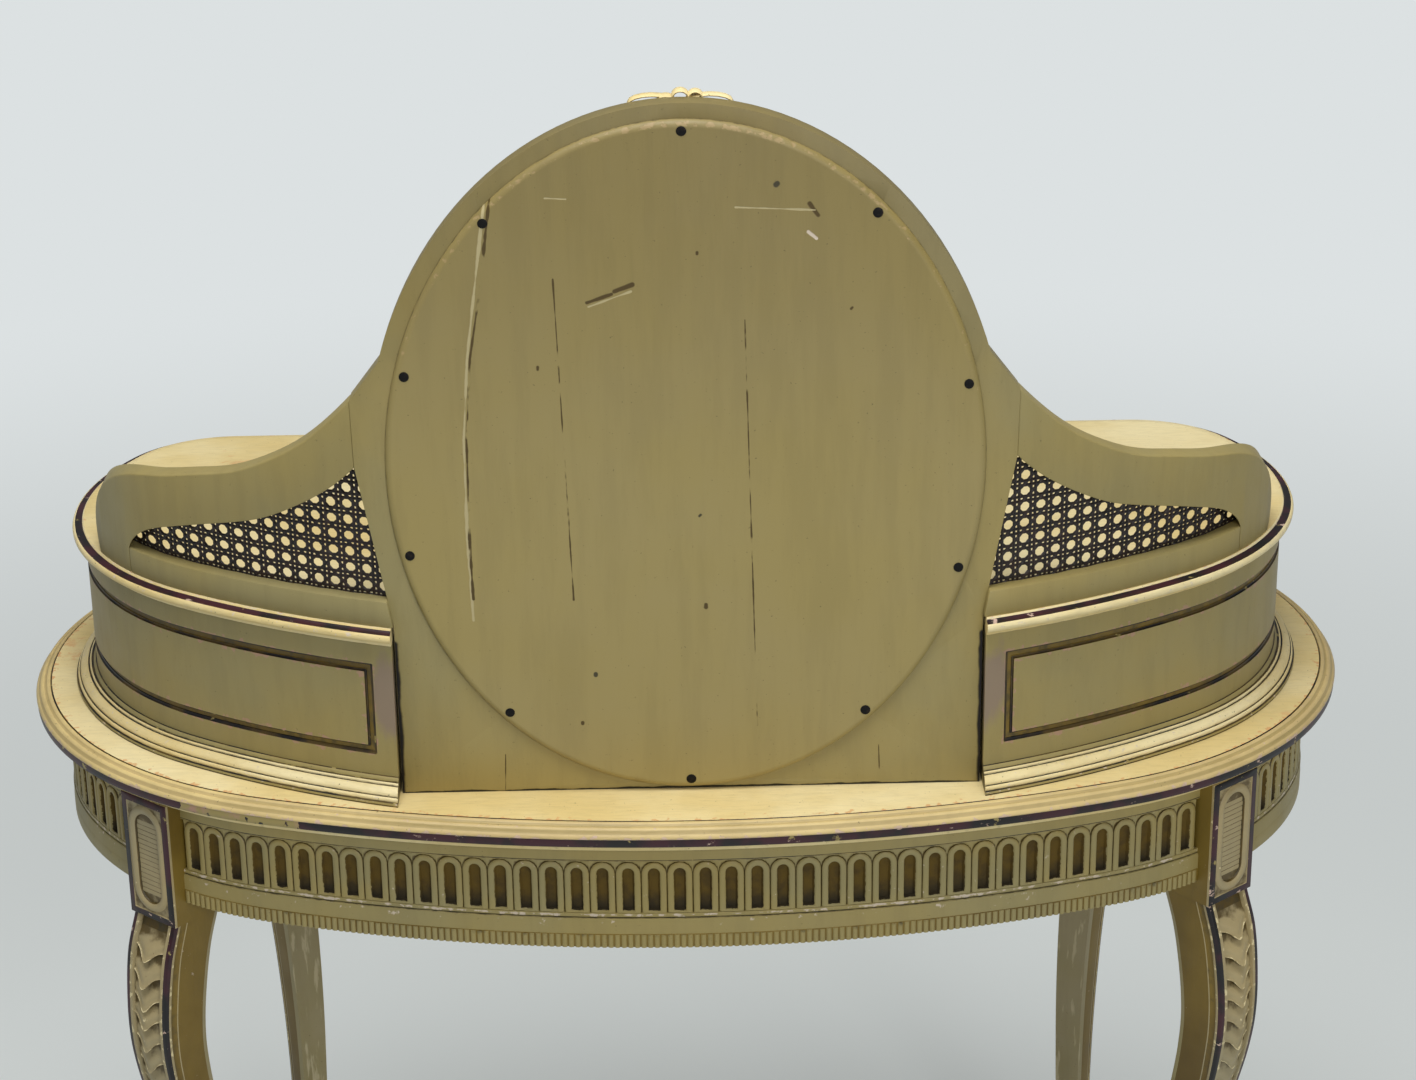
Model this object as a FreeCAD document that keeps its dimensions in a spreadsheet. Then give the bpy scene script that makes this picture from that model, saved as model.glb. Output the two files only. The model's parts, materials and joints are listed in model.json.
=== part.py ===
import FreeCAD, Part
import math
import os
import re
from types import SimpleNamespace
from FreeCAD import Placement, Rotation, Vector

# Dressing table: an oval table on four legs, two boxes with drawers on its top,
# and an arched mirror between two swept wings filled with cane.
# Origin on the floor under the middle of the top, +Z up, front towards -Y.

doc = FreeCAD.newDocument("dressing_table")

# Driving dimensions in millimetres and degrees
sizes = {
    # oval top, drawn with four tangent arcs
    "top_length": 1104,
    "top_depth": 710,
    "top_end_flat": 39,
    "top_height": 760,
    "bed_thick": 8,
    "bed_inset": 12,
    "lip_thick": 8,
    "field_thick": 9,
    "field_inset": 7,
    "field_round": 6,
    # frieze rails under the top
    "apron_inset": 25,
    "apron_thick": 22,
    "apron_height": 88,
    "edging_proud": 3,
    "edging_height": 11,
    "niche_pitch": 19.75,
    "niche_width": 9.4,
    "niche_height": 38,
    "niche_low": 29.7,
    "niche_depth": 4,
    # legs
    "block_width": 52,
    "block_height": 107,
    "block_inset": 11,
    "medallion_width": 28,
    "medallion_height": 76,
    "medallion_depth": 3,
    "back_leg_angle": 40,
    "front_leg_angle": 33,
    # frieze drawer, between two stubs of the front rail
    "front_stub": 138,
    "front_rail_height": 12,
    "front_rail_depth": 48,
    "drawer_gap": 1,
    "running_gap": 0.3,
    "drawer_length": 390,
    "drawer_side": 10,
    "drawer_side_height": 58,
    "drawer_bottom": 5,
    "drawer_inset": 17,
    "runner_ledge": 12,
    "runner_width": 35,
    "runner_height": 40,
    "glue_block": 40,
    "glue_angle": 8,
    "knob_diameter": 18,
    "knob_reach": 18,
    "knob_stem": 7,
    "knob_spacing": 260,
    # boxes on the top, drawn with an oval of their own inside the top's
    "box_end_margin": 34,
    "box_back_margin": 8,
    "box_end_flat": 77,
    "box_front_margin": 176,
    "box_corner": 103,
    "board_gap": 2,
    "base_height": 17,
    "base_step": 9,
    "base_inset": 9,
    "wall_height": 109,
    "wall_inset": 18,
    "wall_thick": 14,
    "panel_depth": 2.5,
    "panel_border": 17,
    "panel_groove": 7,
    "cap_height": 14,
    "cove_height": 5,
    "cove_inset": 14,
    "cornice_inset": 8,
    "inner_thick": 12,
    "stile_flat": 8.7044,
    "box_drawer_front": 16,
    "box_drawer_length": 225,
    "box_drawer_side": 9,
    "box_drawer_height": 90,
    "box_drawer_inset": 2,
    "guide_width": 8,
    "guide_height": 14,
    # mirror
    "board_half_width": 222,
    "board_proud": 1,
    "board_thick": 20,
    "shoulder_spread": 24,
    "shoulder_height": 178,
    "neck_height": 126,
    "neck_spread": 23,
    "arch_spread": 13,
    "arch_rise": 272,
    "arch_centre": 263,
    "arch_start": 84,
    "panel_rim": 13,
    "panel_half_height": 261,
    "panel_thick": 6,
    "screw_inset": 8,
    "screw_head": 7.5,
    "screw_shank": 3.5,
    "screw_depth": 11,
    "sight_margin": 45,
    "sight_half_height": 229,
    "glass_lap": 12,
    "glass_thick": 5,
    "moulding_lap": 5,
    "moulding_width": 26,
    "moulding_thick": 12,
    "crest_width": 76,
    "crest_top": 540,
    "crest_height": 26,
    "crest_thick": 14,
    "dowel_diameter": 10,
    "dowel_depth": 14,
    "dowel_spacing": 280,
    # wings
    "wing_length": 250,
    "wing_thick": 16,
    "wing_rail": 21,
    "cane_thick": 2.4,
    "cane_setback": 11,
    "cane_pitch": 12.7,
    "cane_hole": 6.8,
    "overrun": 15,
}

sheet = doc.addObject("Spreadsheet::Sheet", "Sizes")
for row, (name, value) in enumerate(sizes.items(), 1):
    sheet.set(f"A{row}", name)
    sheet.set(f"B{row}", str(value))
    sheet.setAlias(f"B{row}", name)
doc.recompute()
v = SimpleNamespace(**{name: float(sheet.get(name)) for name in sizes})

UP = Vector(0, 0, 1)
SIDEWAYS = Vector(1, 0, 0)
hair = 1e-9
FORWARD = True
nodes = []


def derive(name, value):
    """add a size that follows from the driving ones"""
    row = len(vars(v)) + 1
    sheet.set(f"A{row}", name)
    sheet.set(f"B{row}", str(value))
    sheet.setAlias(f"B{row}", name)
    setattr(v, name, value)


def bind(thing, place, formula):
    """tie a property to a formula of named sizes"""
    thing.setExpression(place, re.sub(r"[a-z][a-z_]+", lambda found: "Sizes." + found.group(), formula))


class Oval:
    """Four tangent arcs about the origin. A place on it is the angle of its outward
    normal, clockwise from +Y, and the inset of the curve that the place lies on."""

    def __init__(self, length, depth, end_radius):
        half, across = length / 2, depth / 2
        self.end_x = half - end_radius
        self.end_radius = end_radius
        self.long_radius = (across**2 + half**2 - 2 * half * end_radius) / (2 * (across - end_radius))
        self.drop = self.long_radius - across
        self.turn = math.atan2(self.end_x, self.drop)
        self.arcs = (
            (-self.turn, Vector(-self.end_x, 0, 0), end_radius),
            (self.turn, Vector(0, -self.drop, 0), self.long_radius),
            (math.pi - self.turn, Vector(self.end_x, 0, 0), end_radius),
            (math.pi + self.turn, Vector(0, self.drop, 0), self.long_radius),
            (2 * math.pi - self.turn, Vector(-self.end_x, 0, 0), end_radius),
        )

    def arc_at(self, angle):
        return next(piece for piece in self.arcs if angle <= piece[0])

    def point(self, angle, inset):
        _, centre, radius = self.arc_at(angle)
        return centre + (radius - inset) * Vector(math.sin(angle), math.cos(angle), 0)

    def edges(self, start, stop, inset):
        """the curve between two normal angles"""
        parts = []
        while start < stop:
            end, centre, radius = self.arc_at(start + hair)
            reach = min(end, stop)
            parts.append(arc(centre, radius - inset, math.pi / 2 - reach, math.pi / 2 - start))
            start = reach
        return parts

    def travel(self, angle, distance, inset):
        """normal angle reached after a distance along the curve"""
        while True:
            end, _, radius = self.arc_at(angle + hair)
            left = (end - angle) * (radius - inset)
            if distance <= left:
                return angle + distance / (radius - inset)
            distance -= left
            angle = end

    def length(self, start, stop, inset):
        return sum(edge.length() for edge in self.edges(start, stop, inset))

    def back_angle(self, x, inset):
        """normal angle of the place on the long back arc at this x"""
        return math.asin(x / (self.long_radius - inset))

    def front_angle(self, x, inset):
        return math.pi - self.back_angle(x, inset)

    def beside(self, angle, half, inset):
        """normal angle, on an end arc, of the place at a distance from the radius at that angle"""
        return angle + math.asin(half / (self.end_radius - inset))


top_oval = Oval(v.top_length, v.top_depth, v.top_depth / 2 - v.top_end_flat)
box_reach = v.top_depth / 2 - v.box_back_margin
box_oval = Oval(v.top_length - 2 * v.box_end_margin, 2 * box_reach, box_reach - v.box_end_flat)
derive("top_under", v.top_height - v.field_thick - v.lip_thick - v.bed_thick)
derive("box_inner", v.board_half_width + v.board_gap)
derive("box_front", v.top_depth / 2 - v.box_front_margin)
derive("shoulder_half_width", v.board_half_width + v.shoulder_spread)
derive("arch_half_width", v.board_half_width + v.arch_spread)
derive("panel_half_width", v.arch_half_width - v.panel_rim)
derive("sight_half_width", v.arch_half_width - v.sight_margin)
joint_angle = box_oval.back_angle(v.shoulder_half_width, v.wall_inset)
derive("board_back", box_oval.point(joint_angle, v.wall_inset).y + v.board_proud)


def arc(centre, radius, start, stop):
    return Part.ArcOfCircle(Part.Circle(centre, UP, radius), start, stop)


def lines(*points):
    """straight edges through the points"""
    return [Part.LineSegment(a, b) for a, b in zip(points, points[1:])]


def loop(*points):
    """closed outline of straight edges"""
    return lines(*points, points[0])


def circle(centre, radius):
    return Part.Circle(centre, UP, radius)


def ellipse(centre, half_width, half_height):
    """ellipse that starts at the end of its long axis"""
    across, up = Vector(-half_width, 0, 0), Vector(0, half_height, 0)
    long, short = (up, across) if half_height > half_width else (across, up)
    return Part.Ellipse(centre + long, centre + short, centre)


def spline(points):
    curve = Part.BSplineCurve()
    curve.interpolate(points)
    return curve


def new_body(label):
    body = doc.addObject("PartDesign::Body", label)
    body.AllowCompound = True
    return body


def sketch(body, name, edges, low, role="XY_Plane"):
    """sketch on an origin plane, moved along its normal"""
    plan = body.newObject("Sketcher::SketchObject", name)
    plane = next(part for part in body.Origin.OriginFeatures if part.Role == role)
    plan.AttachmentSupport = [(plane, "")]
    plan.MapMode = "FlatFace"
    bind(plan, "AttachmentOffset.Base.z", low)
    plan.addGeometry(edges, False)
    return plan


def pad(body, name, edges, low, height, role="XY_Plane"):
    """flat plate; on the XZ plane it grows from the place -low towards the front"""
    feature = body.newObject("PartDesign::Pad", name)
    feature.Profile = sketch(body, name + "_outline", edges, low, role)
    bind(feature, "Length", height)
    return feature


def pocket(body, name, edges, low, depth, role="XY_Plane", forward=False):
    """hole sunk from its sketch against the plane's normal, or along it"""
    feature = body.newObject("PartDesign::Pocket", name)
    feature.Profile = sketch(body, name + "_outline", edges, low, role)
    feature.Reversed = forward
    bind(feature, "Length", depth)
    return feature


def revolve(body, name, edges):
    """turn a half outline about the sketch's Y axis, which becomes the piece's Z"""
    feature = body.newObject("PartDesign::Revolution", name)
    plan = sketch(body, name + "_outline", edges, "0 * field_thick", "XZ_Plane")
    feature.Profile = plan
    feature.ReferenceAxis = (plan, ["V_Axis"])
    feature.Angle = 360
    return feature


def round_edges(body, name, radius, keep):
    """fillet the edges that keep() chooses"""
    doc.recompute()
    base = body.Tip
    found = [f"Edge{i}" for i, edge in enumerate(base.Shape.Edges, 1) if keep(edge)]
    feature = body.newObject("PartDesign::Fillet", name)
    feature.Base = (base, found)
    bind(feature, "Radius", radius)
    return feature


def board(label, x, y, z):
    """rectangular board between pairs of places along each axis"""
    box = doc.addObject("Part::Box", label)
    for axis, side, (low, high) in zip("xyz", ("Length", "Width", "Height"), (x, y, z)):
        bind(box, f"Placement.Base.{axis}", low)
        bind(box, side, f"({high}) - ({low})")
    return box


def keep_node(thing):
    nodes.append(thing)
    return thing


def mirrored(source, label, normal=SIDEWAYS):
    twin = doc.addObject("Part::Mirroring", label)
    twin.Source = source
    twin.Normal = normal
    return keep_node(twin)


def cut(label, base, tool):
    piece = doc.addObject("Part::Cut", label)
    piece.Base = base
    piece.Tool = tool
    return piece


def pair(make, *words):
    """a left-hand piece and its mirror image"""
    left = keep_node(make(*words))
    return left, mirrored(left, left.Label.replace("left", "right"))


def strip(oval, outer, inner, outer_span, inner_span):
    """outline between two insets of an oval, each with its own start and stop angle"""
    ends = [[oval.point(span[i], inset) for inset, span in ((outer, outer_span), (inner, inner_span))]
            for i in (0, 1)]
    return (oval.edges(*outer_span, outer) + oval.edges(*inner_span, inner)
            + lines(*ends[0]) + lines(*ends[1]))


# Table top: a lip with a narrower field on it, edges rounded over

apron_low = "top_under - apron_height"
apron_top = "top_under"
full_turn = (-top_oval.turn, 2 * math.pi - top_oval.turn)


def at_level(level):
    return lambda edge: all(abs(spot.z - level) < v.running_gap for spot in edge.discretize(3))


def dowel_places(y):
    return [Vector(side * v.dowel_spacing / 2, y, 0) for side in (-1, 1)]


def table_top():
    body = new_body("table_top")
    pad(body, "bed", top_oval.edges(*full_turn, v.bed_inset), "top_under", "bed_thick")
    pad(body, "lip", top_oval.edges(*full_turn, 0), "top_under + bed_thick", "lip_thick")
    pad(body, "field", top_oval.edges(*full_turn, v.field_inset), "top_height - field_thick", "field_thick")
    round_edges(body, "field_round", "field_round", at_level(v.top_height))
    holes = [circle(spot, v.dowel_diameter / 2) for spot in dowel_places(v.board_back - v.board_thick / 2)]
    pocket(body, "dowel_holes", holes, "top_height", "dowel_depth")
    return body


keep_node(table_top())

# Frieze rails: curved strips between the leg blocks, with a proud edging below


def niche(label, angle):
    """hollow of one arch, sunk along the normal at that angle"""
    body = new_body(label)
    half = v.niche_width / 2
    low = v.top_under - v.apron_height + v.niche_low
    high = low + v.niche_height - half
    sides = [Vector(side * half, level, 0) for side, level in ((-1, high), (-1, low), (1, low), (1, high))]
    outline = lines(*sides) + [arc(Vector(0, high, 0), half, 0, math.pi)]
    pad(body, "hollow", outline, "-overrun", "overrun + niche_depth", "XZ_Plane")
    body.Placement = Placement(top_oval.point(angle, v.apron_inset), Rotation(UP, -math.degrees(angle)))
    return body


def niche_angles(start, stop):
    """evenly spaced niches between two normal angles, as many as fit"""
    room = top_oval.length(start, stop, v.apron_inset)
    count = int(room / v.niche_pitch)
    first = (room - (count - 1) * v.niche_pitch) / 2
    return [top_oval.travel(start, first + number * v.niche_pitch, v.apron_inset) for number in range(count)]


def apron(label, start, stop):
    """start and stop give the normal angle of an end at an inset"""
    body = new_body(label + "_plain")
    inner = v.apron_inset + v.apron_thick
    edging = v.apron_inset - v.edging_proud
    for name, outer, height in (("rail", v.apron_inset, "apron_height"),
                                ("edging", edging, "edging_height")):
        outline = strip(top_oval, outer, inner, (start(outer), stop(outer)), (start(inner), stop(inner)))
        pad(body, name, outline, apron_low, height)
    hollows = doc.addObject("Part::Compound", label + "_niches")
    hollows.Links = [niche(f"{label}_niche_{number}", angle)
                     for number, angle in enumerate(niche_angles(start(v.apron_inset), stop(v.apron_inset)))]
    return cut(label, body, hollows)


back_angle = math.radians(v.back_leg_angle)
front_angle = math.pi - math.radians(v.front_leg_angle)
block_half = v.block_width / 2


def past(angle, side):
    """end of a rail on the face of the block at that angle"""
    return lambda inset: top_oval.beside(angle, side * block_half, inset)


keep_node(apron("apron_back", lambda inset: -past(back_angle, -1)(inset), past(back_angle, -1)))
pair(apron, "apron_left", past(back_angle, 1), past(front_angle, -1))
opening_half = top_oval.point(past(front_angle, 1)(v.apron_inset), v.apron_inset).x - v.front_stub
pair(apron, "apron_front_left", past(front_angle, 1),
     lambda inset: top_oval.front_angle(opening_half, inset))

# Legs: a square block in the frieze above a cabriole leg that bows out at the knee

leg_shares = (
    # height on the leg, reach of the outer face, width and depth against the block
    (1.000, -0.04, 0.94, 0.92),
    (0.950, 0.17, 0.95, 0.90),
    (0.880, 0.29, 0.91, 0.86),
    (0.825, 0.30, 0.88, 0.82),
    (0.775, 0.22, 0.84, 0.79),
    (0.730, 0.10, 0.78, 0.77),
    (0.610, -0.28, 0.68, 0.68),
    (0.470, -0.49, 0.60, 0.60),
    (0.330, -0.55, 0.53, 0.53),
    (0.190, -0.50, 0.48, 0.49),
    (0.090, -0.33, 0.49, 0.56),
    (0.040, -0.12, 0.66, 0.76),
    (0.000, -0.10, 0.70, 0.78),
)


def rectangle(half, front, back):
    """four edges between -half and half across, and between two places in depth"""
    places = ((-1, back), (1, back), (1, front), (-1, front))
    return loop(*[Vector(side * half, place, 0) for side, place in places])


def stadium(centre, half_width, half_height):
    """upright slot with round ends"""
    straight = half_height - half_width
    high, low = centre + Vector(0, straight, 0), centre - Vector(0, straight, 0)
    out = Vector(half_width, 0, 0)
    return ([arc(high, half_width, 0, math.pi), arc(low, half_width, math.pi, 2 * math.pi)]
            + lines(high - out, low - out) + lines(high + out, low + out))


def leg(label, angle):
    """leg with its outer face towards local +Y, set on the end arc at a normal angle"""
    body = new_body(label)
    block_low = apron_top + " - block_height"
    pad(body, "block", rectangle(block_half, 0, -v.block_width), block_low, "block_height")
    middle = Vector(0, v.top_under - v.block_height / 2, 0)
    medallion = stadium(middle, v.medallion_width / 2, v.medallion_height / 2)
    pocket(body, "medallion", medallion, "0 * overrun", "medallion_depth", "XZ_Plane", FORWARD)
    sections = []
    for number, (height, reach, wide, deep) in enumerate(leg_shares):
        outline = rectangle(wide * block_half, reach * v.block_width, (reach - deep) * v.block_width)
        level = f"{height} * ({block_low})"
        sections.append(sketch(body, f"leg_section_{number}", outline, level))
    loft = body.newObject("PartDesign::AdditiveLoft", "cabriole")
    loft.Profile = sections[0]
    loft.Sections = sections[1:]
    body.Placement = Placement(top_oval.point(angle, v.block_inset), Rotation(UP, -math.degrees(angle)))
    return body


pair(leg, "leg_back_left", back_angle)
pair(leg, "leg_front_left", front_angle)

# Frieze drawer behind the middle of the front, on two runners

rail_inner = v.apron_inset - v.edging_proud + v.front_rail_depth
drawer_low = "top_under - apron_height + front_rail_height + drawer_gap"
drawer_high = "top_under - drawer_gap"
floor_low = drawer_low + " + drawer_gap"
front_half = opening_half - v.drawer_gap
tray_half = opening_half - v.drawer_inset


def front_strip(half, outer, inner):
    """outline on the long front arc between -half and half"""
    spans = [(top_oval.front_angle(half, inset), 2 * math.pi - top_oval.front_angle(half, inset))
             for inset in (outer, inner)]
    return strip(top_oval, outer, inner, *spans)


def front_spot(x):
    """place on the back face of the drawer front"""
    inset = v.apron_inset + v.apron_thick
    return top_oval.point(top_oval.front_angle(x, inset), inset)


def front_rail():
    body = new_body("front_rail")
    outline = front_strip(opening_half, v.apron_inset - v.edging_proud, rail_inner)
    pad(body, "rail", outline, apron_low, "front_rail_height")
    return body


def frieze_drawer_front():
    body = new_body("frieze_drawer_front")
    outline = front_strip(front_half, v.apron_inset, v.apron_inset + v.apron_thick)
    pad(body, "front", outline, drawer_low, f"({drawer_high}) - ({drawer_low})")
    return body


def tray_back():
    return front_spot(tray_half).y + v.drawer_length


def frieze_drawer_side(label):
    body = new_body(label)
    near, far = tray_half - v.drawer_side, tray_half
    back = tray_back()
    outline = loop(front_spot(near), front_spot(far), Vector(far, back, 0), Vector(near, back, 0))
    pad(body, "side", outline, floor_low + " + drawer_bottom", "drawer_side_height")
    return body


def frieze_drawer_bottom():
    body = new_body("frieze_drawer_bottom")
    inset = v.apron_inset + v.apron_thick
    start = top_oval.front_angle(tray_half, inset)
    ends = [top_oval.point(angle, inset) for angle in (start, 2 * math.pi - start)]
    corners = [Vector(spot.x, tray_back(), 0) for spot in ends]
    outline = top_oval.edges(start, 2 * math.pi - start, inset)
    outline += lines(ends[0], corners[0], corners[1], ends[1])
    pad(body, "bottom", outline, floor_low, "drawer_bottom")
    return body


def frieze_drawer_back():
    body = new_body("frieze_drawer_back")
    outline = rectangle(tray_half - v.drawer_side, tray_back() - v.drawer_side, tray_back())
    pad(body, "back", outline, floor_low + " + drawer_bottom", "drawer_side_height")
    return body


def runner(label):
    """ledge under the drawer's side with a guide beside it"""
    body = new_body(label)
    outer = opening_half
    ledge_front = top_oval.point(top_oval.front_angle(outer, rail_inner), rail_inner).y
    apron_inner = v.apron_inset + v.apron_thick
    ledge_back = top_oval.point(top_oval.back_angle(outer, apron_inner), apron_inner).y
    for name, near, height in (("ledge", outer - v.runner_width, "runner_ledge"),
                               ("guide", tray_half + v.drawer_gap, "runner_height")):
        outline = loop(Vector(near, ledge_front, 0), Vector(outer, ledge_front, 0),
                       Vector(outer, ledge_back, 0), Vector(near, ledge_back, 0))
        pad(body, name, outline, floor_low + " - running_gap - runner_ledge", height)
    return body


def knob(label, foot_spot, turn):
    """turned knob that reaches forward from its foot, turned in plan by an angle"""
    body = new_body(label)
    radius, stem, reach = v.knob_diameter / 2, v.knob_stem / 2, v.knob_reach
    neck = Vector(stem, reach - radius * 1.6, 0)
    widest = Vector(radius, reach - radius * 0.8, 0)
    tip = Vector(0, reach, 0)
    foot = Vector(radius * 0.8, 0, 0)
    edges = lines(Vector(0, 0, 0), foot, Vector(foot.x, radius * 0.2, 0), Vector(stem, radius * 0.4, 0))
    swell = Vector(radius * 0.8, neck.y + radius * 0.2, 0)
    edges += lines(Vector(stem, radius * 0.4, 0), neck, swell, widest)
    edges += lines(widest, Vector(radius * 0.7, reach - radius * 0.2, 0), tip, Vector(0, 0, 0))
    revolve(body, "turning", edges)
    body.Placement = Placement(foot_spot, Rotation(UP, math.degrees(turn)) * Rotation(SIDEWAYS, 90))
    return body


def glue_blocks():
    """blocks in the corner between rails and top"""
    body = new_body("glue_blocks")
    inner = v.apron_inset + v.apron_thick
    half = v.glue_block / 2
    beside = math.radians(v.glue_angle)
    for number, angle in enumerate((math.pi / 2, 3 * math.pi / 2, -beside, beside)):
        _, centre, radius = top_oval.arc_at(angle)
        out = Vector(math.sin(angle), math.cos(angle), 0)
        along = Vector(out.y, -out.x, 0)
        face = centre + math.sqrt((radius - inner)**2 - half**2) * out
        back = face - half * out
        outline = loop(face - half * along, face + half * along, back + half * along, back - half * along)
        pad(body, f"block_{number}", outline, apron_top + " - glue_block", "glue_block")
    return body


drawer_middle = v.top_under - v.apron_height / 2 + v.front_rail_height / 2
knob_angle = top_oval.front_angle(v.knob_spacing / 2, v.apron_inset)
knob_spot = top_oval.point(knob_angle, v.apron_inset) + drawer_middle * UP

keep_node(front_rail())
keep_node(frieze_drawer_front())
pair(frieze_drawer_side, "frieze_drawer_side_left")
keep_node(frieze_drawer_bottom())
keep_node(frieze_drawer_back())
pair(knob, "frieze_knob_left", knob_spot, math.pi - knob_angle)
pair(runner, "runner_left")
keep_node(glue_blocks())

# Boxes on the top: base moulding, curved wall with a sunk panel, inner side, cap and a drawer

corner_y = v.box_corner - v.box_front
corner_x = box_oval.end_x + math.sqrt((box_oval.end_radius - v.box_corner)**2 - corner_y**2)
corner_turn = math.pi / 2 + math.atan2(-corner_y, corner_x - box_oval.end_x)
derive("stile_place", corner_x - v.stile_flat)
base_top = "top_height + base_height"
wall_top = "top_height + base_height + wall_height"
box_top = "top_height + base_height + wall_height + cap_height"
box_top_level = v.top_height + v.base_height + v.wall_height + v.cap_height


def corner_arc(inset, start, stop):
    """front corner of a box between two normal angles"""
    return arc(Vector(corner_x, corner_y, 0), v.box_corner - inset, math.pi / 2 - stop, math.pi / 2 - start)


def corner_point(angle, inset):
    out = Vector(math.sin(angle), math.cos(angle), 0)
    return Vector(corner_x, corner_y, 0) + (v.box_corner - inset) * out


def box_outline(inset, inner):
    """whole plan of the left-hand box"""
    start = box_oval.back_angle(inner, inset)
    front = inset - v.box_front
    return (box_oval.edges(start, corner_turn, inset) + [corner_arc(inset, corner_turn, math.pi)]
            + lines(Vector(corner_x, front, 0), Vector(inner, front, 0), box_oval.point(start, inset)))


def wall_strip(outer, inner, start_x, stop_x):
    """strip of the wall from the back at start_x round to the front at stop_x"""
    edges = []
    ends = []
    for inset in (outer, inner):
        start = box_oval.back_angle(start_x, inset)
        front = Vector(stop_x, inset - v.box_front, 0)
        edges += box_oval.edges(start, corner_turn, inset) + [corner_arc(inset, corner_turn, math.pi)]
        edges += lines(corner_point(math.pi, inset), front)
        ends.append((box_oval.point(start, inset), front))
    return edges + lines(ends[0][0], ends[1][0]) + lines(ends[0][1], ends[1][1])


def box_base(label):
    body = new_body(label)
    pad(body, "plinth", box_outline(0, v.box_inner), "top_height", "base_step")
    pad(body, "step", box_outline(v.base_inset, v.box_inner), "top_height", "base_height")
    return body


def box_wall(label):
    """wall with a groove that frames a panel: thin in the groove, thick beside it"""
    body = new_body(label)
    inner = v.wall_inset + v.wall_thick
    sunk = v.wall_inset + v.panel_depth
    pad(body, "groove", wall_strip(sunk, inner, v.box_inner, v.stile_place), base_top, "wall_height")
    frame = v.box_inner + v.panel_border + v.panel_groove
    pad(body, "panel", wall_strip(v.wall_inset, inner, frame, v.stile_place),
        base_top + " + panel_border + panel_groove", "wall_height - 2 * panel_border - 2 * panel_groove")
    for name, low in (("lower_border", base_top), ("upper_border", wall_top + " - panel_border")):
        pad(body, name, wall_strip(v.wall_inset, inner, v.box_inner, v.stile_place), low, "panel_border")
    start, stop = v.box_inner, v.box_inner + v.panel_border
    spans = [[box_oval.back_angle(x, inset) for x in (start, stop)] for inset in (v.wall_inset, inner)]
    pad(body, "back_border", strip(box_oval, v.wall_inset, inner, *spans), base_top, "wall_height")
    outer_y, inner_y = v.wall_inset - v.box_front, inner - v.box_front
    front = loop(Vector(v.stile_place, outer_y, 0), Vector(corner_x, outer_y, 0),
                 Vector(corner_x, inner_y, 0), Vector(v.stile_place, inner_y, 0))
    pad(body, "front_border", front, base_top, "wall_height")
    return body


def box_inner_side(label):
    """straight side next to the mirror and the open middle"""
    body = new_body(label)
    near, far = v.box_inner, v.box_inner + v.inner_thick
    inset = v.wall_inset + v.wall_thick
    back = [box_oval.point(box_oval.back_angle(x, inset), inset) for x in (near, far)]
    front = v.wall_inset - v.box_front
    outline = loop(Vector(near, front, 0), Vector(far, front, 0), back[1], back[0])
    pad(body, "side", outline, base_top, "wall_height")
    return body


def box_cap(label):
    body = new_body(label)
    pad(body, "cove", box_outline(v.cove_inset, v.box_inner), wall_top, "cap_height")
    pad(body, "cornice", box_outline(v.cornice_inset, v.box_inner), wall_top + " + cove_height",
        "cap_height - cove_height")
    return body


tray_near = "box_inner + inner_thick + box_drawer_inset"
tray_far = "stile_place - box_drawer_inset"
tray_front = "wall_inset - box_front + box_drawer_front"
tray_end = tray_front + " + box_drawer_length"
tray_low = base_top + " + running_gap"
tray_top = tray_low + " + box_drawer_height"


def box_drawer_front(label):
    return board(label, ("box_inner + inner_thick + drawer_gap", "stile_place - drawer_gap"),
                 ("wall_inset - box_front", tray_front), (tray_low, wall_top + " - drawer_gap"))


def box_drawer_bottom(label):
    return board(label, (tray_near, tray_far), (tray_front, tray_end),
                 (tray_low, tray_low + " + drawer_bottom"))


def box_drawer_inner_side(label):
    return board(label, (tray_near, tray_near + " + box_drawer_side"), (tray_front, tray_end),
                 (tray_low + " + drawer_bottom", tray_top))


def box_drawer_outer_side(label):
    return board(label, (tray_far + " - box_drawer_side", tray_far), (tray_front, tray_end),
                 (tray_low + " + drawer_bottom", tray_top))


def box_drawer_back(label):
    return board(label, (tray_near + " + box_drawer_side", tray_far + " - box_drawer_side"),
                 (tray_end + " - box_drawer_side", tray_end), (tray_low + " + drawer_bottom", tray_top))


def box_guide(label):
    """strip on the base that keeps the drawer straight"""
    near = tray_far + " + drawer_gap"
    return board(label, (near, near + " + guide_width"), (tray_front, tray_end),
                 (base_top, base_top + " + guide_height"))


drawer_centre = Vector((v.box_inner + v.inner_thick + v.stile_place) / 2, v.wall_inset - v.box_front,
                       v.top_height + v.base_height + v.wall_height / 2)

for make in (box_base, box_wall, box_inner_side, box_cap, box_guide, box_drawer_front, box_drawer_bottom,
             box_drawer_inner_side, box_drawer_outer_side, box_drawer_back):
    pair(make, make.__name__ + "_left")
pair(knob, "box_knob_left", drawer_centre, 0)

# Mirror: arched board with an oval sight, glass in a rebate, oval panel screwed over its back

sight_centre = Vector(0, v.top_height + v.arch_centre, 0)
board_front = v.board_back - v.board_thick


def arch_edge():
    """top of the board: an arc of an ellipse, and the height where it starts"""
    reach = math.acos(v.arch_start / v.arch_rise)
    curve = ellipse(sight_centre, v.arch_half_width, v.arch_rise)
    start = Vector(v.arch_half_width * math.sin(reach), sight_centre.y + v.arch_start, 0)
    ends = [start, Vector(-start.x, start.y, 0)]
    if curve.Axis.z < 0:
        ends.reverse()
    return Part.ArcOfEllipse(curve, *[curve.parameter(spot) for spot in ends]), start


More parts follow.
